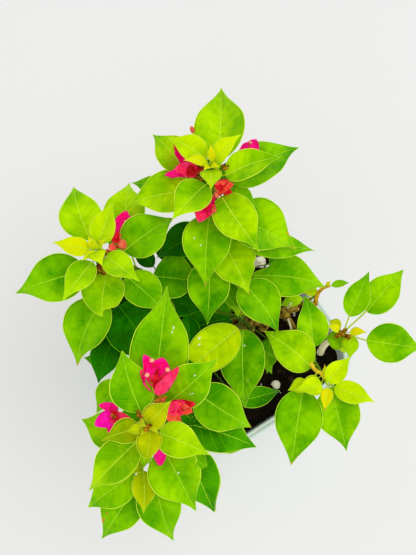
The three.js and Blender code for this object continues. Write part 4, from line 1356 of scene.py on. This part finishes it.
# Single leaves that fill the shade between the stems, and young ones round the tips: the mass whose first
# stem bears each, where it starts and ends, its tint and its width as a share of its length
innerLeaves = [
    ("left", (-106, 12, 243), (-84, -35, 236), "d", 0.70),
    ("left", (-102, 16, 238), (-79, -4, 234), "d", 0.60),
    ("middle", (-69, 17, 232), (-35, 7, 228), "d", 0.70),
    ("back", (-27, 20, 222), (-67, 8, 218), "d", 0.62),
    ("middle", (-55, -11, 228), (-11, 1, 230), "d", 0.50),
    ("left", (-101, 10, 232), (-86, -41, 226), "d", 0.62),
    ("front", (-34, -89, 252), (5, -105, 248), "m", 0.62),
    ("front", (-46, -111, 246), (-26, -153, 240), "m", 0.62),
    ("left", (-115, 34, 305), (-109, 21, 314), "l", 0.8),
    ("left", (-115, 34, 304), (-125, 26, 308), "y", 0.42),
    ("left", (-116, 36, 305), (-120, 43, 313), "y", 0.55),
    ("left", (-115, 37, 305), (-107, 42, 313), "l", 0.5),
    ("left", (-115, 36, 306), (-115, 39, 315), "y", 0.6),
    ("front", (-46, -111, 284), (-31, -120, 279), "g", 0.7),
    ("front", (-76, -92, 338), (-71, -95, 346), "o", 0.6),
    ("front", (-68, -93, 338), (-64, -99, 344), "o", 0.5),
    ("back", (-30, 93, 326), (-24, 89, 334), "y", 0.5),
    ("back", (-31, 93, 326), (-35, 87, 333), "y", 0.5),
    ("front", (-73, -104, 310), (-76, -121, 307), "f", 0.56),
    ("front", (-73, -114, 305), (-80, -120, 304), "o", 0.55),
    ("front", (-53, -79, 276), (-38, -91, 270), "m", 0.6),
    ("back", (-28, 95, 318), (-20, 98, 326), "l", 0.75),
    ("right", (66, -51, 234), (71, -44, 242), "y", 0.4),
    ("back", (-26, 102, 304), (-7, 85, 299), "m", 0.85),
    ("left", (-103, 3, 262), (-70, -44, 255), "d", 0.78),
    ("back", (-18, 84, 300), (7, 74, 293), "g", 0.62),
]

# Gaps in the foliage that small leaves leave open, each a place and a radius, as seen from the eye
openGaps = {
    "eye": (-32, -117, 762),
    "spots": [((-43, -28, 238), 7), ((-14, -54, 214), 9), ((5, 6, 180), 6), ((18, 3, 160), 7),
              ((38, 7, 180), 8), ((44, 1, 170), 6), ((85, -19, 135), 9), ((18, -51, 150), 6),
              ((19, 74, 150), 9)],
}


def addInnerLeaves(grown):
    # Each on a short side twig from the nearest place on its stem
    s = sprigSet
    shoots = {mass["name"]: mass["shoots"][0] for mass in grown}
    for seed, (name, root, tip, tint, breadth) in enumerate(innerLeaves, s["innerSeed"]):
        shoot = shoots[name]
        leaf = bladeBetween(root, tip, breadth, 0)
        end = leaf["root"] - leaf["along"] * s["innerStalk"] * leaf["length"] - upward * s["innerDrop"]
        stem = pointAt(shoot["curve"], np.linspace(0.05, 0.95, 60))
        start = stem[np.argmin(np.linalg.norm(stem - end, axis=1))]
        leaf.update(node=end, seed=seed, tint=tint)
        shoot["leaves"].append(leaf)
        shoot["sprigs"].append((start, end))


def liesOpen(leaf, grown):
    # True where a leaf would hide others from the light and from a little in front, unless more lie above it
    s = sprigSet
    spots = np.concatenate([own["samples"] for own in grown])
    over = spots - (leaf["root"] + 0.5 * leaf["length"] * leaf["along"])
    beside = np.hypot(over[:, 0], over[:, 1] + s["lean"] * over[:, 2]) < s["shade"]
    below, above = s["shadeDepths"]
    return bool(np.any(beside & (over[:, 2] < below)) and not np.any(beside & (over[:, 2] > above)))


def shutsGap(points):
    # True where a leaf crosses the line from the camera's place to a gap that stays open: the distance of
    # each point from that line
    fromEye = points - np.array(openGaps["eye"], float)
    for spot, radius in openGaps["spots"]:
        toSpot = np.array(spot, float) - openGaps["eye"]
        far = np.linalg.norm(toSpot)
        past = np.cross(fromEye, toSpot / far)
        above = fromEye @ (toSpot / far) < far
        if np.any(above & (np.linalg.norm(past, axis=1) < radius)):
            return True
    return False


def growSprig(own, grown, others, curve, spot, seed, bearing):
    # One side twig: its leaves that fit, and its two ends if it bears any
    s = sprigSet
    rise = s["rise"][0] + s["rise"][1] * wobble(seed + 1)
    reach = s["reach"][0] + s["reach"][1] * wobble(seed + 2)
    start = pointAt(curve, spot)
    end = start + heading(bearing, rise) * reach
    sprig = makeCurve([start, end])
    leaves = []
    for step, turn in enumerate(s["leafTurns"]):
        turn = bearing + turn + s["leafStray"] * (wobble(seed + step + 5) - 0.5)
        size = s["leafSize"][0] + s["leafSize"][1] * wobble(seed + step + 8)
        row = [turn, size, s["leafRise"][1] * wobble(seed + step + 11) + s["leafRise"][0], 0]
        leaf = leafPlace(sprig, s["leafOrder"], s["stalks"], row)
        leaf["node"] = start + (end - start) * (1 - s["backBy"] * step)
        leaf["root"] = leaf["root"] + (leaf["node"] - nodeBelow(sprig, 0))
        # Painted shade: leaves of side twigs low on a stem get the deep tint, and higher ones the middle
        # tint.
        leaf["tint"] = "m" if spot > s["middleFrom"] else "d"
        points = bladeSamples(leaf)
        if np.any(points < own["low"]) or np.any(points > own["high"]) or meetsPot(points):
            continue
        if isNear(points, others, s["otherSpace"]) or liesOpen(leaf, grown) or shutsGap(points):
            continue
        if isNear(points, own["samples"], s["ownSpace"]):
            continue
        leaves.append(leaf)
        own["samples"] = np.concatenate([own["samples"], points])
    return leaves, [(start, end)] if leaves else []


def growSprigs(grown, woody):
    # Each spot up a stem tries one side twig; a leaf that leaves the mass's reach or comes too near
    # another leaf, mass, limb or the pot is left out, and a twig with no leaf too
    s = sprigSet
    for own in grown:
        own["low"], own["high"] = own["samples"].min(0), own["samples"].max(0)
        others = othersThan(own, grown, woody)
        for branch, shoot in enumerate(own["shoots"]):
            curve = shoot["curve"]
            below = s["belowTip"] if curve["length"] > s["longStem"] else s["belowShortTip"]
            spots = np.arange(s["lowest"], 1 - below / curve["length"], s["pitch"] / curve["length"])
            for order, spot in enumerate(spots):
                seed = s["firstSeed"] + own["place"] * s["massSeed"]
                seed += branch * s["twigSeed"] + order * s["spotSeed"]
                bearing = order * growth["goldenAngle"] + 360 * wobble(seed)
                leaves, sprigs = growSprig(own, grown, others, curve, spot, seed, bearing)
                shoot["leaves"] += leaves
                shoot["sprigs"] += sprigs
            hearts = shoot["twig"].get("hearts", masses[own["name"]].get("hearts", 1))
            for order, (size, rise) in enumerate(zip(s["heartSizes"], s["heartRises"])):
                turn = order * growth["goldenAngle"] + s["heartTurn"] * branch
                row = [turn, size * hearts, rise, s["heartDrop"] * order]
                leaf = leafPlace(curve, 0, s["heartStalks"], row)
                leaf["tint"] = "ly"[order % 2]
                shoot["leaves"].append(leaf)


# Twigs
# The brown lower part of each stem and its green upper part, as shares of the length; thorns stand at a
# bearing and a rise on the lower stem.
twigSet = {
    "woody": (0.0, 0.45),
    "green": (0.44, 1.0),
    "rings": 44,
    "sides": 10,
    "knot": 0.35,
    "knotLength": 0.012,
    "thornsTo": 0.6,
    "thornTurn": 40,
    "thornRise": 35,
    "thornLength": 4,
    "thornRadii": (0.6, 0.06),
    "sprigRadii": (0.95, 0.6),
    "barkColors": ((0.07, 0.03, 0.003), (0.62, 0.38, 0.04)),
    # The green twigs' dark colour is partly painted shade, for the shade inside the crown.
    "greenColors": ((0.10, 0.20, 0.008), (0.24, 0.34, 0.02)),
}


def twigNodes(shoot):
    # How far along the stem each leaf leaves it
    curve = shoot["curve"]
    drops = [np.linalg.norm(leaf["node"] - pointAt(curve, 1.0)) for leaf in shoot["leaves"]]
    return 1 - np.array(drops) / curve["length"]


def makeTwigs(grown):
    # Stems taper evenly and swell where leaves leave them: a bell curve round each node
    s = twigSet
    woodySkins, greenSkins, thorns = [], [], []
    shoots = [shoot for mass in grown for shoot in mass["shoots"]]
    for shoot in shoots:
        root, tip = shoot["twig"]["radii"]
        nodes = twigNodes(shoot)
        for skins, (low, high) in ((woodySkins, s["woody"]), (greenSkins, s["green"])):
            share = np.linspace(low, high, s["rings"])
            knots = s["knot"] * np.exp(-((share[:, None] - nodes) / s["knotLength"]) ** 2).max(axis=1)
            radius = (root + (tip - root) * share + knots)[:, None]
            skins.append(skin(tube(pointAt(shoot["curve"], share), radius, s["sides"])[None]))
        for order, node in enumerate(nodes[nodes < s["thornsTo"]]):
            foot = pointAt(shoot["curve"], node)
            out = heading(order * growth["goldenAngle"] + s["thornTurn"], s["thornRise"])
            thorns.append((foot, foot + out * s["thornLength"]))
    sprigs = [sprig for shoot in shoots for sprig in shoot["sprigs"]]
    for pairs, radii, sag, sides in ((sprigs, np.linspace(*s["sprigRadii"], 6), 0.06, 7),
                                     (thorns, np.linspace(*s["thornRadii"], 5), 0.04, 5)):
        starts, ends = zip(*pairs)
        greenSkins.append(skin(rods(starts, ends, radii, sag, sides)))
    bark = finish("twigBarkLook", *s["barkColors"], dullSurface, patch_scale=120, grain_scale=1400,
                  grain_depth=0.6, roughness=0.6, roughness_spread=0.2)
    green = finish("greenTwigLook", *s["greenColors"], leafGloss, patch_scale=90, grain_scale=1400,
                   grain_depth=0.3, roughness=0.5)
    putMesh("woody_twigs", woodySkins, bark, nodes=massNodes)
    putMesh("green_twigs", greenSkins, green, nodes=massNodes)


# Blossoms
# Bracts: where each starts and where its tip is, width as a share of its length, roll in degrees, how far
# it is cupped, and the letter of its colours. Tubes and buds: their two ends, and a bud's radius. Flakes:
# middle, spread and count. Looks: the material's name and colours, its slot, and what else is set.
blossomSet = {
    "rootPower": 0.42,
    "tipPower": 0.66,
    "cupLift": 0.6,
    "cupNarrow": 0.22,
    "keel": 0.12,
    "keelWaves": 2.2,
    "crumple": 0.075,
    "crumpleStretch": (3.1, 1.3),
    "crumplePitches": (0.5, 0.22),
    "levelFrom": 0.8,
    "levelBy": 0.6,
    "thick": 0.25,
    "glow": 0.16,
    "clusterReach": 11,
    "clusterDrop": 4,
    "stalkRadii": (0.6, 0.42),
    "bracts": [
        [(-40, 98, 313), (-60, 117, 322), 0.36, 30, 0.7, "r"],
        [(-43, 96, 312), (-57, 110, 319), 0.8, 10, 0.9, "m"],
        [(-41, 95, 313), (-57, 94, 320), 0.95, -15, 1.1, "p"],
        [(-36, 98, 313), (-48, 88, 319), 0.75, 25, 1.2, "r"],
        [(-46, 94, 311), (-65, 92, 313), 0.5, 15, 0.6, "m"],
        [(-2, 111, 306), (5, 122, 313), 0.95, 15, 0.5, "m"],
        [(-4, 111, 307), (-3, 120, 312), 0.9, 5, 0.5, "m"],
        [(-26, 80, 312), (-13, 82, 319), 0.9, 12, 1.2, "s"],
        [(-26, 78, 311), (-14, 77, 315), 0.8, -20, 1.2, "r"],
        [(-25, 80, 313), (-17, 85, 320), 0.9, 0, 1.2, "r"],
        [(-27, 75, 310), (-37, 65, 314), 0.62, 14, 0.9, "m"],
        [(-31, 71, 308), (-39, 55, 311), 1.1, 6, 1.0, "p"],
        [(-32, 70, 308), (-43, 63, 311), 1.0, -10, 1.0, "m"],
        [(-29, 72, 308), (-31, 59, 312), 0.7, 20, 1, "r"],
        [(-104, 54, 281), (-96, 74, 286), 0.66, 10, 0.7, "m"],
        [(-103, 56, 282), (-89, 68, 289), 0.7, -8, 0.7, "m"],
        [(-106, 50, 290), (-98, 50, 298), 0.8, 20, 1.2, "s"],
        [(-66, -71, 332), (-62, -51, 342), 1.05, 0, 0.8, "m"],
        [(-66, -69, 335), (-74, -49, 342), 0.58, 20, 0.8, "m"],
        [(-66, -71, 333), (-76, -59, 340), 0.66, 8, 0.8, "p"],
        [(-66, -74, 337), (-51, -58, 348), 0.40, 30, 0.6, "p"],
        [(-66, -71, 336), (-65, -58, 344), 0.34, 0, 0.8, "r"],
        [(-92, -82, 323), (-105, -80, 324), 0.52, 5, 0.6, "m"],
        [(-92, -87, 321), (-107, -93, 324), 0.86, 10, 0.7, "v"],
        [(-93, -87, 322), (-98, -98, 320), 0.75, -15, 0.8, "m"],
        [(-97, -88, 322), (-82, -90, 328), 0.66, 0, 0.8, "p"],
        [(-92, -86, 325), (-97, -84, 330), 0.5, 20, 1, "r"],
        [(-94, -87, 325), (-91, -93, 331), 0.5, -20, 1, "r"],
        [(-58, -81, 332), (-40, -80, 337), 0.57, 15, 1, "r"],
        [(-58, -83, 332), (-42, -85, 336), 0.68, -10, 0.9, "s"],
        [(-58, -83, 333), (-47, -79, 338), 0.61, 5, 1, "p"],
        [(-59, -84, 332), (-50, -94, 332), 0.78, -10, 0.8, "s"],
        [(-58, -83, 333), (-48, -87, 337), 0.7, 0, 1, "p"],
        [(-64, -102, 316), (-64, -119, 313), 0.60, 4, 0.4, "m"],
        [(-102, 42, 302), (-99, 49, 307), 0.8, 10, 1.2, "r"],
        [(-103, 35, 300), (-104, 41, 304), 0.9, 0, 1.0, "s"],
        [(-116, 26, 296), (-109, 22, 299), 0.6, 20, 1, "b"],
        [(-115, 25, 295), (-118, 17, 297), 0.7, -20, 1, "b"],
        [(-66, -79, 329), (-59, -75, 333), 0.6, 20, 1, "o"],
        [(-65, -80, 329), (-63, -75, 334), 0.6, -20, 1, "o"],
        [(-34, 97, 314), (-41, 98, 318), 0.7, 0, 1, "b"],
    ],
    "tubes": [
        [(-67, -57, 338), (-68, -54, 349)], [(-63, -64, 338), (-58, -60, 349)],
        [(-69, -66, 337), (-71, -63, 346)], [(-3, 111, 309), (0, 118, 315)],
        [(-102, 57, 284), (-96, 63, 290)],
    ],
    "buds": [
        [(-40, 117, 318), (-45, 128, 322), 2.2], [(-29, 104, 327), (-26, 107, 333), 1.7],
        [(-31, 75, 310), (-24, 79, 315), 1.7], [(-29, 73, 311), (-25, 75, 317), 2.9],
        [(-31, 61, 309), (-27, 64, 315), 2.9], [(-105, 43, 293), (-100, 48, 303), 4.0],
        [(-104, 41, 293), (-95, 41, 303), 4.9], [(-106, 38, 294), (-104, 40, 300), 3.2],
        [(-110, 33, 297), (-107, 37, 302), 1.4], [(-64, -80, 331), (-61, -77, 336), 1.6],
        [(-76, -90, 333), (-74, -87, 337), 1.2], [(-52, -83, 334), (-46, -83, 339), 1.5],
    ],
    "seedStep": 3.7,
    "veins": [(0.0, 0.0), (0.02, 0.5), (0.02, -0.5), (0.3, 0.7), (0.3, -0.7)],
    "looks": {
        "flower_tubes": ("flowerTubeLook", (0.72, 0.02, 0.04), (0.88, 0.12, 0.07), "flower_tube",
                         {"patch_scale": 300, "roughness": 0.5}),
        "flower_mouths": ("flowerMouthLook", (0.92, 0.36, 0.18), (0.95, 0.56, 0.34), "flower_tube",
                          {"patch_scale": 400, "roughness": 0.6}),
        "flower_buds": ("flowerBudLook", (0.80, 0.07, 0.03), (0.86, 0.26, 0.08), "flower_tube",
                        {"patch_scale": 260, "roughness": 0.5}),
        "dry_flakes": ("dryFlakeLook", (0.035, 0.013, 0.001), (0.66, 0.30, 0.012), "bark",
                       {"shaderSet": dullSurface, "patch_scale": 420, "patch_share": 1, "grain_depth": 0.6,
                        "roughness": 0.8}),
        "flower_stalks": ("flowerStalkLook", (0.34, 0.34, 0.01), (0.60, 0.26, 0.02), "flower_tube",
                          {"shaderSet": dullSurface, "patch_scale": 200, "patch_share": 1, "roughness": 0.6}),
    },
    "veinShade": 0.62,
    "flakes": [
        [(-40, 91, 313), 4.5, 18], [(-19, 94, 322), 3.5, 14], [(-36, 98, 315), 3, 8],
        [(-107, 34, 300), 3.2, 12], [(-114, 23, 295), 4.6, 20], [(-76, -86, 331), 2.6, 7],
        [(-94, -87, 325), 2.2, 6], [(85, -8, 207), 4.2, 16], [(82, -9, 206), 3.2, 12],
        [(88, -12, 207), 3.4, 12], [(-71, -96, 341), 2.2, 6],
    ],
    "colors": {
        "m": ("magenta", (0.93, 0.001, 0.21), (0.98, 0.004, 0.34)),
        "r": ("red", (0.52, 0.002, 0.010), (0.84, 0.015, 0.035)),
        "p": ("pink", (0.93, 0.02, 0.11), (0.96, 0.07, 0.22)),
        "s": ("salmon", (0.95, 0.17, 0.075), (0.95, 0.06, 0.05)),
        "v": ("violet", (0.90, 0, 0.38), (0.95, 0.002, 0.50)),
        "b": ("dried", (0.14, 0.018, 0.004), (0.42, 0.10, 0.012)),
        "o": ("withered", (0.70, 0.26, 0.015), (0.42, 0.12, 0.01)),
    },
}


def bractBlade(bracts, share, across, height=0.0):
    # As a leaf's blade, but heart-shaped, cupped about its middle, with a keel and crumples of two sizes
    s = blossomSet
    length, width, seed, cup = gathered(bracts, "length", "width", "seed", "cup")
    half = 0.5 * width * bulge(share, s["rootPower"], s["tipPower"])
    forward, sideways = s["crumpleStretch"]
    large, small = s["crumplePitches"]
    spot = np.stack(np.broadcast_arrays(share * forward + seed, across * sideways, 0 * seed), -1)
    keel = s["keel"] * length * np.abs(np.sin(s["keelWaves"] * np.pi * share)) * (1 - across ** 2)
    crumples = noise(spot, large, 4) + 0.6 * noise(spot, small, 5)
    crumpled = s["crumple"] * length * crumples * smooth(3 * share)
    lift = s["cupLift"] * cup * half * across ** 2 - keel + crumpled
    lift = lift * (1 - s["levelBy"] * smooth((share - s["levelFrom"]) / (1 - s["levelFrom"])))
    return bladePoints(bracts, length * share, half * across * (1 - s["cupNarrow"] * cup), lift + height)


def bractSkins(bracts):
    # Each bract as rings of eleven points above and five below, from root to tip
    share = np.concatenate([[0.004, 0.03], np.linspace(0.08, 0.95, 17), [0.998]])[:, None]
    across = np.array([-1, -0.84, -0.63, -0.42, -0.2, 0, 0.2, 0.42, 0.63, 0.84, 1, 0.75, 0.4, 0, -0.4, -0.75])
    level = np.where(np.arange(16) > 10, -0.5, 0.5) * (np.abs(across) < 1)
    return skin(bractBlade(bracts, share + 0 * across, across + 0 * share, blossomSet["thick"] * level))


def bractVeinSkins(bracts):
    # Ridges of three sides, each from a start on the midrib out to a spread, bending as a power of its way
    t = np.linspace(0, 1, 8)[:, None]
    made = []
    for start, spread in blossomSet["veins"]:
        share = start + (0.92 - start) * t * (1 - 0.35 * abs(spread))
        across = spread * t ** 0.7 + 0.02 * (1 - 0.6 * t) * np.array([-1, 0, 1])
        height = np.array([0.02, 0.24, 0.02]) + 0 * share
        made.append(skin(bractBlade(bracts, share + 0 * across, across, height)))
    return made


def placedBract(row, seed):
    # A row of the list as a blade
    root, tip, breadth, roll, cup, kind = row
    blade = bladeBetween(root, tip, breadth, np.radians(roll))
    return {**blade, "seed": seed * blossomSet["seedStep"], "cup": cup, "kind": kind}


def stalkSkinsTo(anchors, grown):
    # Anchors within reach of each other share a short stalk that leaves the nearest stem below them; its
    # fork lies a drop below the middle of its anchors
    s = blossomSet
    stems = np.concatenate([pointAt(shoot["curve"], np.linspace(0.1, 0.97, 90))
                            for mass in grown for shoot in mass["shoots"]])
    pairs, left = [], list(range(len(anchors)))
    while left:
        apart = np.linalg.norm(anchors[left] - anchors[left[0]], axis=1)
        near = [order for order, gap in zip(left, apart) if gap < s["clusterReach"]]
        left = [order for order in left if order not in near]
        fork = anchors[near].mean(axis=0) - upward * s["clusterDrop"]
        lower = stems[stems[:, 2] < fork[2] - 1]
        pairs.append((lower[np.argmin(np.linalg.norm(lower - fork, axis=1))], fork))
        pairs += [(fork, anchors[order]) for order in near]
    return [skin(rods(*zip(*pairs), np.linspace(*s["stalkRadii"], 8), 0.05, 7))]


def makeBracts(bracts):
    # Bracts glow a little by emission: painted light, standing in for light that shines through them
    s = blossomSet
    for kind, (name, color, patch) in s["colors"].items():
        chosen = [bract for bract in bracts if bract["kind"] == kind]
        glossAndPaintedGlow = {"Specular IOR Level": 0.2, "Emission Color": (*color, 1), "Emission Strength": s["glow"]}
        look = finish(name + "BractLook", color, patch, glossAndPaintedGlow, patch_scale=140, patch_share=0.9,
                      grain_scale=1500, grain_depth=0.3, roughness=0.55, roughness_spread=0.1)
        veinLook = finish(name + "BractVeinLook", [s["veinShade"] * c for c in color], color,
                          patch_scale=200, roughness=0.55)
        putMesh(name + "_bracts", [bractSkins(chosen)], look, nodes=massNodes)
        putMesh(name + "_bract_veins", bractVeinSkins(chosen), veinLook, nodes=massNodes)


def flowerSkins():
    # Tubes swell near the root and at the mouth, mouths flare out and in, buds are clubs: a stalk that
    # widens into a head rounded as an ellipse
    s = blossomSet
    t = np.linspace(0, 1, 12)
    starts, ends = np.array(s["tubes"], float).swapaxes(0, 1)
    swell = 0.55 + 0.4 * np.exp(-((t - 0.2) / 0.15) ** 2) + 0.35 * smooth((t - 0.8) / 0.2)
    tubes = [skin(rods(starts, ends, swell, 0.0, 8))]
    lean = unit(ends - starts)
    flare = 0.8 + 0.75 * np.sin(0.8 * np.pi * np.linspace(0, 1, 6))
    mouths = [skin(rods(ends - 0.4 * lean, ends + 0.9 * lean, flare, 0.0, 10))]
    head = np.sqrt(np.clip(1.02 - ((t - 0.6) / 0.42).clip(0) ** 2, 0.02, 1))
    buds = [skin(rods([start], [end], radius * (0.28 + 0.72 * smooth((t - 0.45) / 0.4)) * head, 0.05, 9))
            for start, end, radius in s["buds"]]
    return tubes, mouths, buds


def flakeSkins(middle, spread, count, seed):
    # Dry bits scattered in a cube round a place
    ids = np.arange(count) + 37 * seed
    shake = np.stack([wobble(ids), wobble(ids + 0.3), wobble(ids + 0.7)], -1) - 0.5
    return lumpSkins(np.array(middle) + spread * shake * 1.6, 0.6 + 1.1 * wobble(ids + 5), seed, 0.5)


def makeBlossoms(grown):
    # Bracts, flowers, buds and dry bits, and the stalks that carry all of them
    s = blossomSet
    bracts = [placedBract(row, seed) for seed, row in enumerate(s["bracts"])]
    makeBracts(bracts)
    skins = dict(zip(("flower_tubes", "flower_mouths", "flower_buds"), flowerSkins()))
    skins["dry_flakes"] = [flakeSkins(*row, seed) for seed, row in enumerate(s["flakes"])]
    anchors = [bract["root"] for bract in bracts] + [row[0] for row in s["tubes"] + s["buds"] + s["flakes"]]
    skins["flower_stalks"] = stalkSkinsTo(np.array(anchors, float), grown)
    for name, (look, color, patch, slot, values) in s["looks"].items():
        putMesh(name, skins[name], finish(look, color, patch, **values), nodes=massNodes)


# Trunk and boughs
# Looks by name: colours, and what is set on the material. Thin stems: route, two radii, relief, rings and
# look. Ridges: how close they stand round and along a limb, and their mean height. Fine: the height and pitch
# of short noise. Scars: height, count and width.
barkGrain = {"shaderSet": dullSurface, "grain_scale": 1300, "grain_depth": 0.9, "roughness": 0.7,
             "roughness_spread": 0.2}
twigGrain = {"shaderSet": dullSurface, "patch_scale": 260, "patch_share": 1, "grain_scale": 1300,
             "grain_depth": 0.7, "roughness": 0.6}
barkSet = {
    "waist": 6.2,
    "loss": 1.2,
    "flare": 6.5,
    "fade": 9,
    "lobes": 0.3,
    "knot": 2,
    "knotAt": 0.9,
    "knotLength": 0.14,
    "underTop": 2,
    "ridges": (3, 9, 0.35),
    "fine": (0.45, 2.1),
    "scars": (0.4, 7, 0.05),
    "scarWave": 0.1,
    "looks": {
        "bark": ((0.030, 0.014, 0.001), (0.56, 0.37, 0.045),
                 {**barkGrain, "patch_scale": 150, "patch_share": 1}),
        # The cream stem is brightened and glows a little by emission: painted light, as if the shaded stem
        # stood in sun.
        "creamStem": ((1.0, 0.93, 0.62), (0.92, 0.78, 0.42),
                      {"shaderSet": {**dullSurface, "Emission Color": (1.0, 0.85, 0.5, 1),
                                     "Emission Strength": 0.1},
                       "patch_scale": 70, "patch_share": 0.7, "grain_scale": 1300, "grain_depth": 0.5,
                       "roughness": 0.6}),
        "tanBark": ((0.02, 0.009, 0.0005), (0.62, 0.38, 0.04),
                    {**barkGrain, "patch_scale": 260, "patch_share": 0.8}),
        "cutWood": ((0.98, 0.90, 0.62), (0.80, 0.62, 0.32), {"patch_scale": 400, "roughness": 0.7}),
        "oldTwig": ((0.92, 0.56, 0.02), (0.40, 0.15, 0.01), twigGrain),
        "youngStem": ((0.94, 0.80, 0.03), (0.78, 0.50, 0.02), twigGrain),
    },
    "knobs": [((4.5, 6, 181), 6.3), ((-1, 4, 178), 5), ((10, 9, 176), 5), ((35, 16, 179), 4.6),
              ((40, 13, 179), 3.6), ((44, 19, 181), 3.4), ((19, 4, 172), 5.0), ((13, 8, 176), 3.6)],
    "knobSides": (22, 12),
    "knobPole": 86,
    "knobBulges": ((0.22, 3.4), (0.16, 1.3)),
    "stubs": [((47, 17, 177), (50, 20, 182), 1.5), ((41, 20, 178), (42, 20, 200), 0.9),
              ((41, 9, 184), (43, -2, 191), 1.0)],
    "stubRadii": (1.2, 1, 1, 0.95, 0.9),
    "thinStems": {
        "old_twig": ([(66, 22, 184), (67, 28, 187), (69, 33, 190), (73, 36, 192), (79, 38, 194)],
                     (2.3, 1.0), 0.4, 50, "oldTwig"),
        "young_stem": ([(52, -38, 233), (54, -42, 232), (57, -45, 232), (61, -47, 231), (64, -52, 230)],
                       (1.5, 1.3), 0.6, 40, "youngStem"),
    },
    "stemSides": 16,
    "stubSides": 14,
    "boughGrid": (28, 80),
    "boughLooks": {"stem_corner": ("creamStem", 0.35), "bough_right_front": ("tanBark", 0.9)},
    "boughLook": ("bark", 0.9),
}


def trunkRadius(share, angle):
    # Waist less its loss, plus a root flare with three lobes, plus a knot below the fork
    s = barkSet
    spread = s["flare"] * np.exp(-share * s["fade"]) * (1 + s["lobes"] * np.cos(3 * angle + 1))
    swelling = s["knot"] * np.exp(-((share - s["knotAt"]) / s["knotLength"]) ** 2)
    return s["waist"] - s["loss"] * share + spread + swelling


def tapering(radii):
    # A radius that goes evenly from the first to the second
    first, last = radii
    return lambda share, angle: first + (last - first) * share + 0 * angle


def barkRelief(points, share, angle):
    # Long ridges that follow the limb, broken by short noise, and a ring of scars now and then
    s = barkSet
    around, along, middle = s["ridges"]
    height, count, width = s["scars"]
    spots = np.stack([np.cos(angle) * around, np.sin(angle) * around, share * along], -1)
    ridges = np.abs(noise(spots, 1, 6))
    fine = s["fine"][0] * noise(points, s["fine"][1], 7)
    place = np.mod(share * count + s["scarWave"] * np.sin(2 * angle), 1)
    return ridges - middle + fine + height * np.exp(-((place - 0.5) / width) ** 2)


def limbSkin(route, radiusAt, sides=44, steps=110, relief=1.0):
    # A tube whose radius is the limb's own plus a share of the bark's relief, cut off just under the soil
    share = np.linspace(0, 1, steps)[:, None]
    angle = np.linspace(0, 2 * np.pi, sides, endpoint=False)[None]
    path = pointAt(makeCurve(route), share[:, 0])
    radius = radiusAt(share, angle)
    rings = tube(path, radius, sides)
    rings = tube(path, radius + relief * barkRelief(rings, *np.broadcast_arrays(share, angle)), sides)
    rings[..., 2] = np.maximum(rings[..., 2], soilTop - barkSet["underTop"])
    return skin(rings[None])


def knobSkin(middle, radius, seed):
    # A ball drawn out by noise of two sizes, with a ring closed by a face at each pole
    s = barkSet
    rows, step = s["knobSides"]
    ball = ballOf(np.linspace(-s["knobPole"], s["knobPole"], rows), np.arange(0, 360, step))
    spots = ball * radius + 40 * seed
    (large, pitch), (small, finePitch) = s["knobBulges"]
    bulges = 1 + large * noise(spots, pitch, 8) + small * noise(spots, finePitch, 9)
    return skin((np.array(middle) + ball * (radius * bulges)[..., None])[None])


def makeLimbs():
    # The trunk and the boughs take the place of their solids; knobs, stubs and two thin stems join them
    s = barkSet
    looks = {name: finish(name + "Look", color, patch, **values)
             for name, (color, patch, values) in s["looks"].items()}
    putMesh("trunk_bark", [limbSkin(trunkRoute, trunkRadius)], looks["bark"], nodes=["trunk"])
    knobs = [knobSkin(middle, radius, seed) for seed, (middle, radius) in enumerate(s["knobs"])]
    putMesh("bark_knobs", knobs, looks["bark"])
    stubs = [skin(rods([start], [end], np.array(s["stubRadii"]) * radius, 0.0, s["stubSides"]))
             for start, end, radius in s["stubs"]]
    putMesh("cut_stubs", stubs, looks["cutWood"])
    for name, (route, radii, relief, steps, look) in s["thinStems"].items():
        made = limbSkin(route, tapering(radii), s["stemSides"], steps, relief)
        putMesh(name, [made], looks[look])
    for name, bough in boughs.items():
        look, relief = s["boughLooks"].get(name, s["boughLook"])
        made = limbSkin(bough["route"], tapering(bough["radii"]), *s["boughGrid"], relief)
        putMesh(name + "_bark", [made], looks[look], nodes=[name])


makePot()
makeSoil()
print("pot and soil are made")
grown, woody = growMasses()
makeLimbs()
growSprigs(grown, woody)
addInnerLeaves(grown)
makeTwigs(grown)
makeLeaves(grown)
makeBlossoms(grown)
print("plant is made")
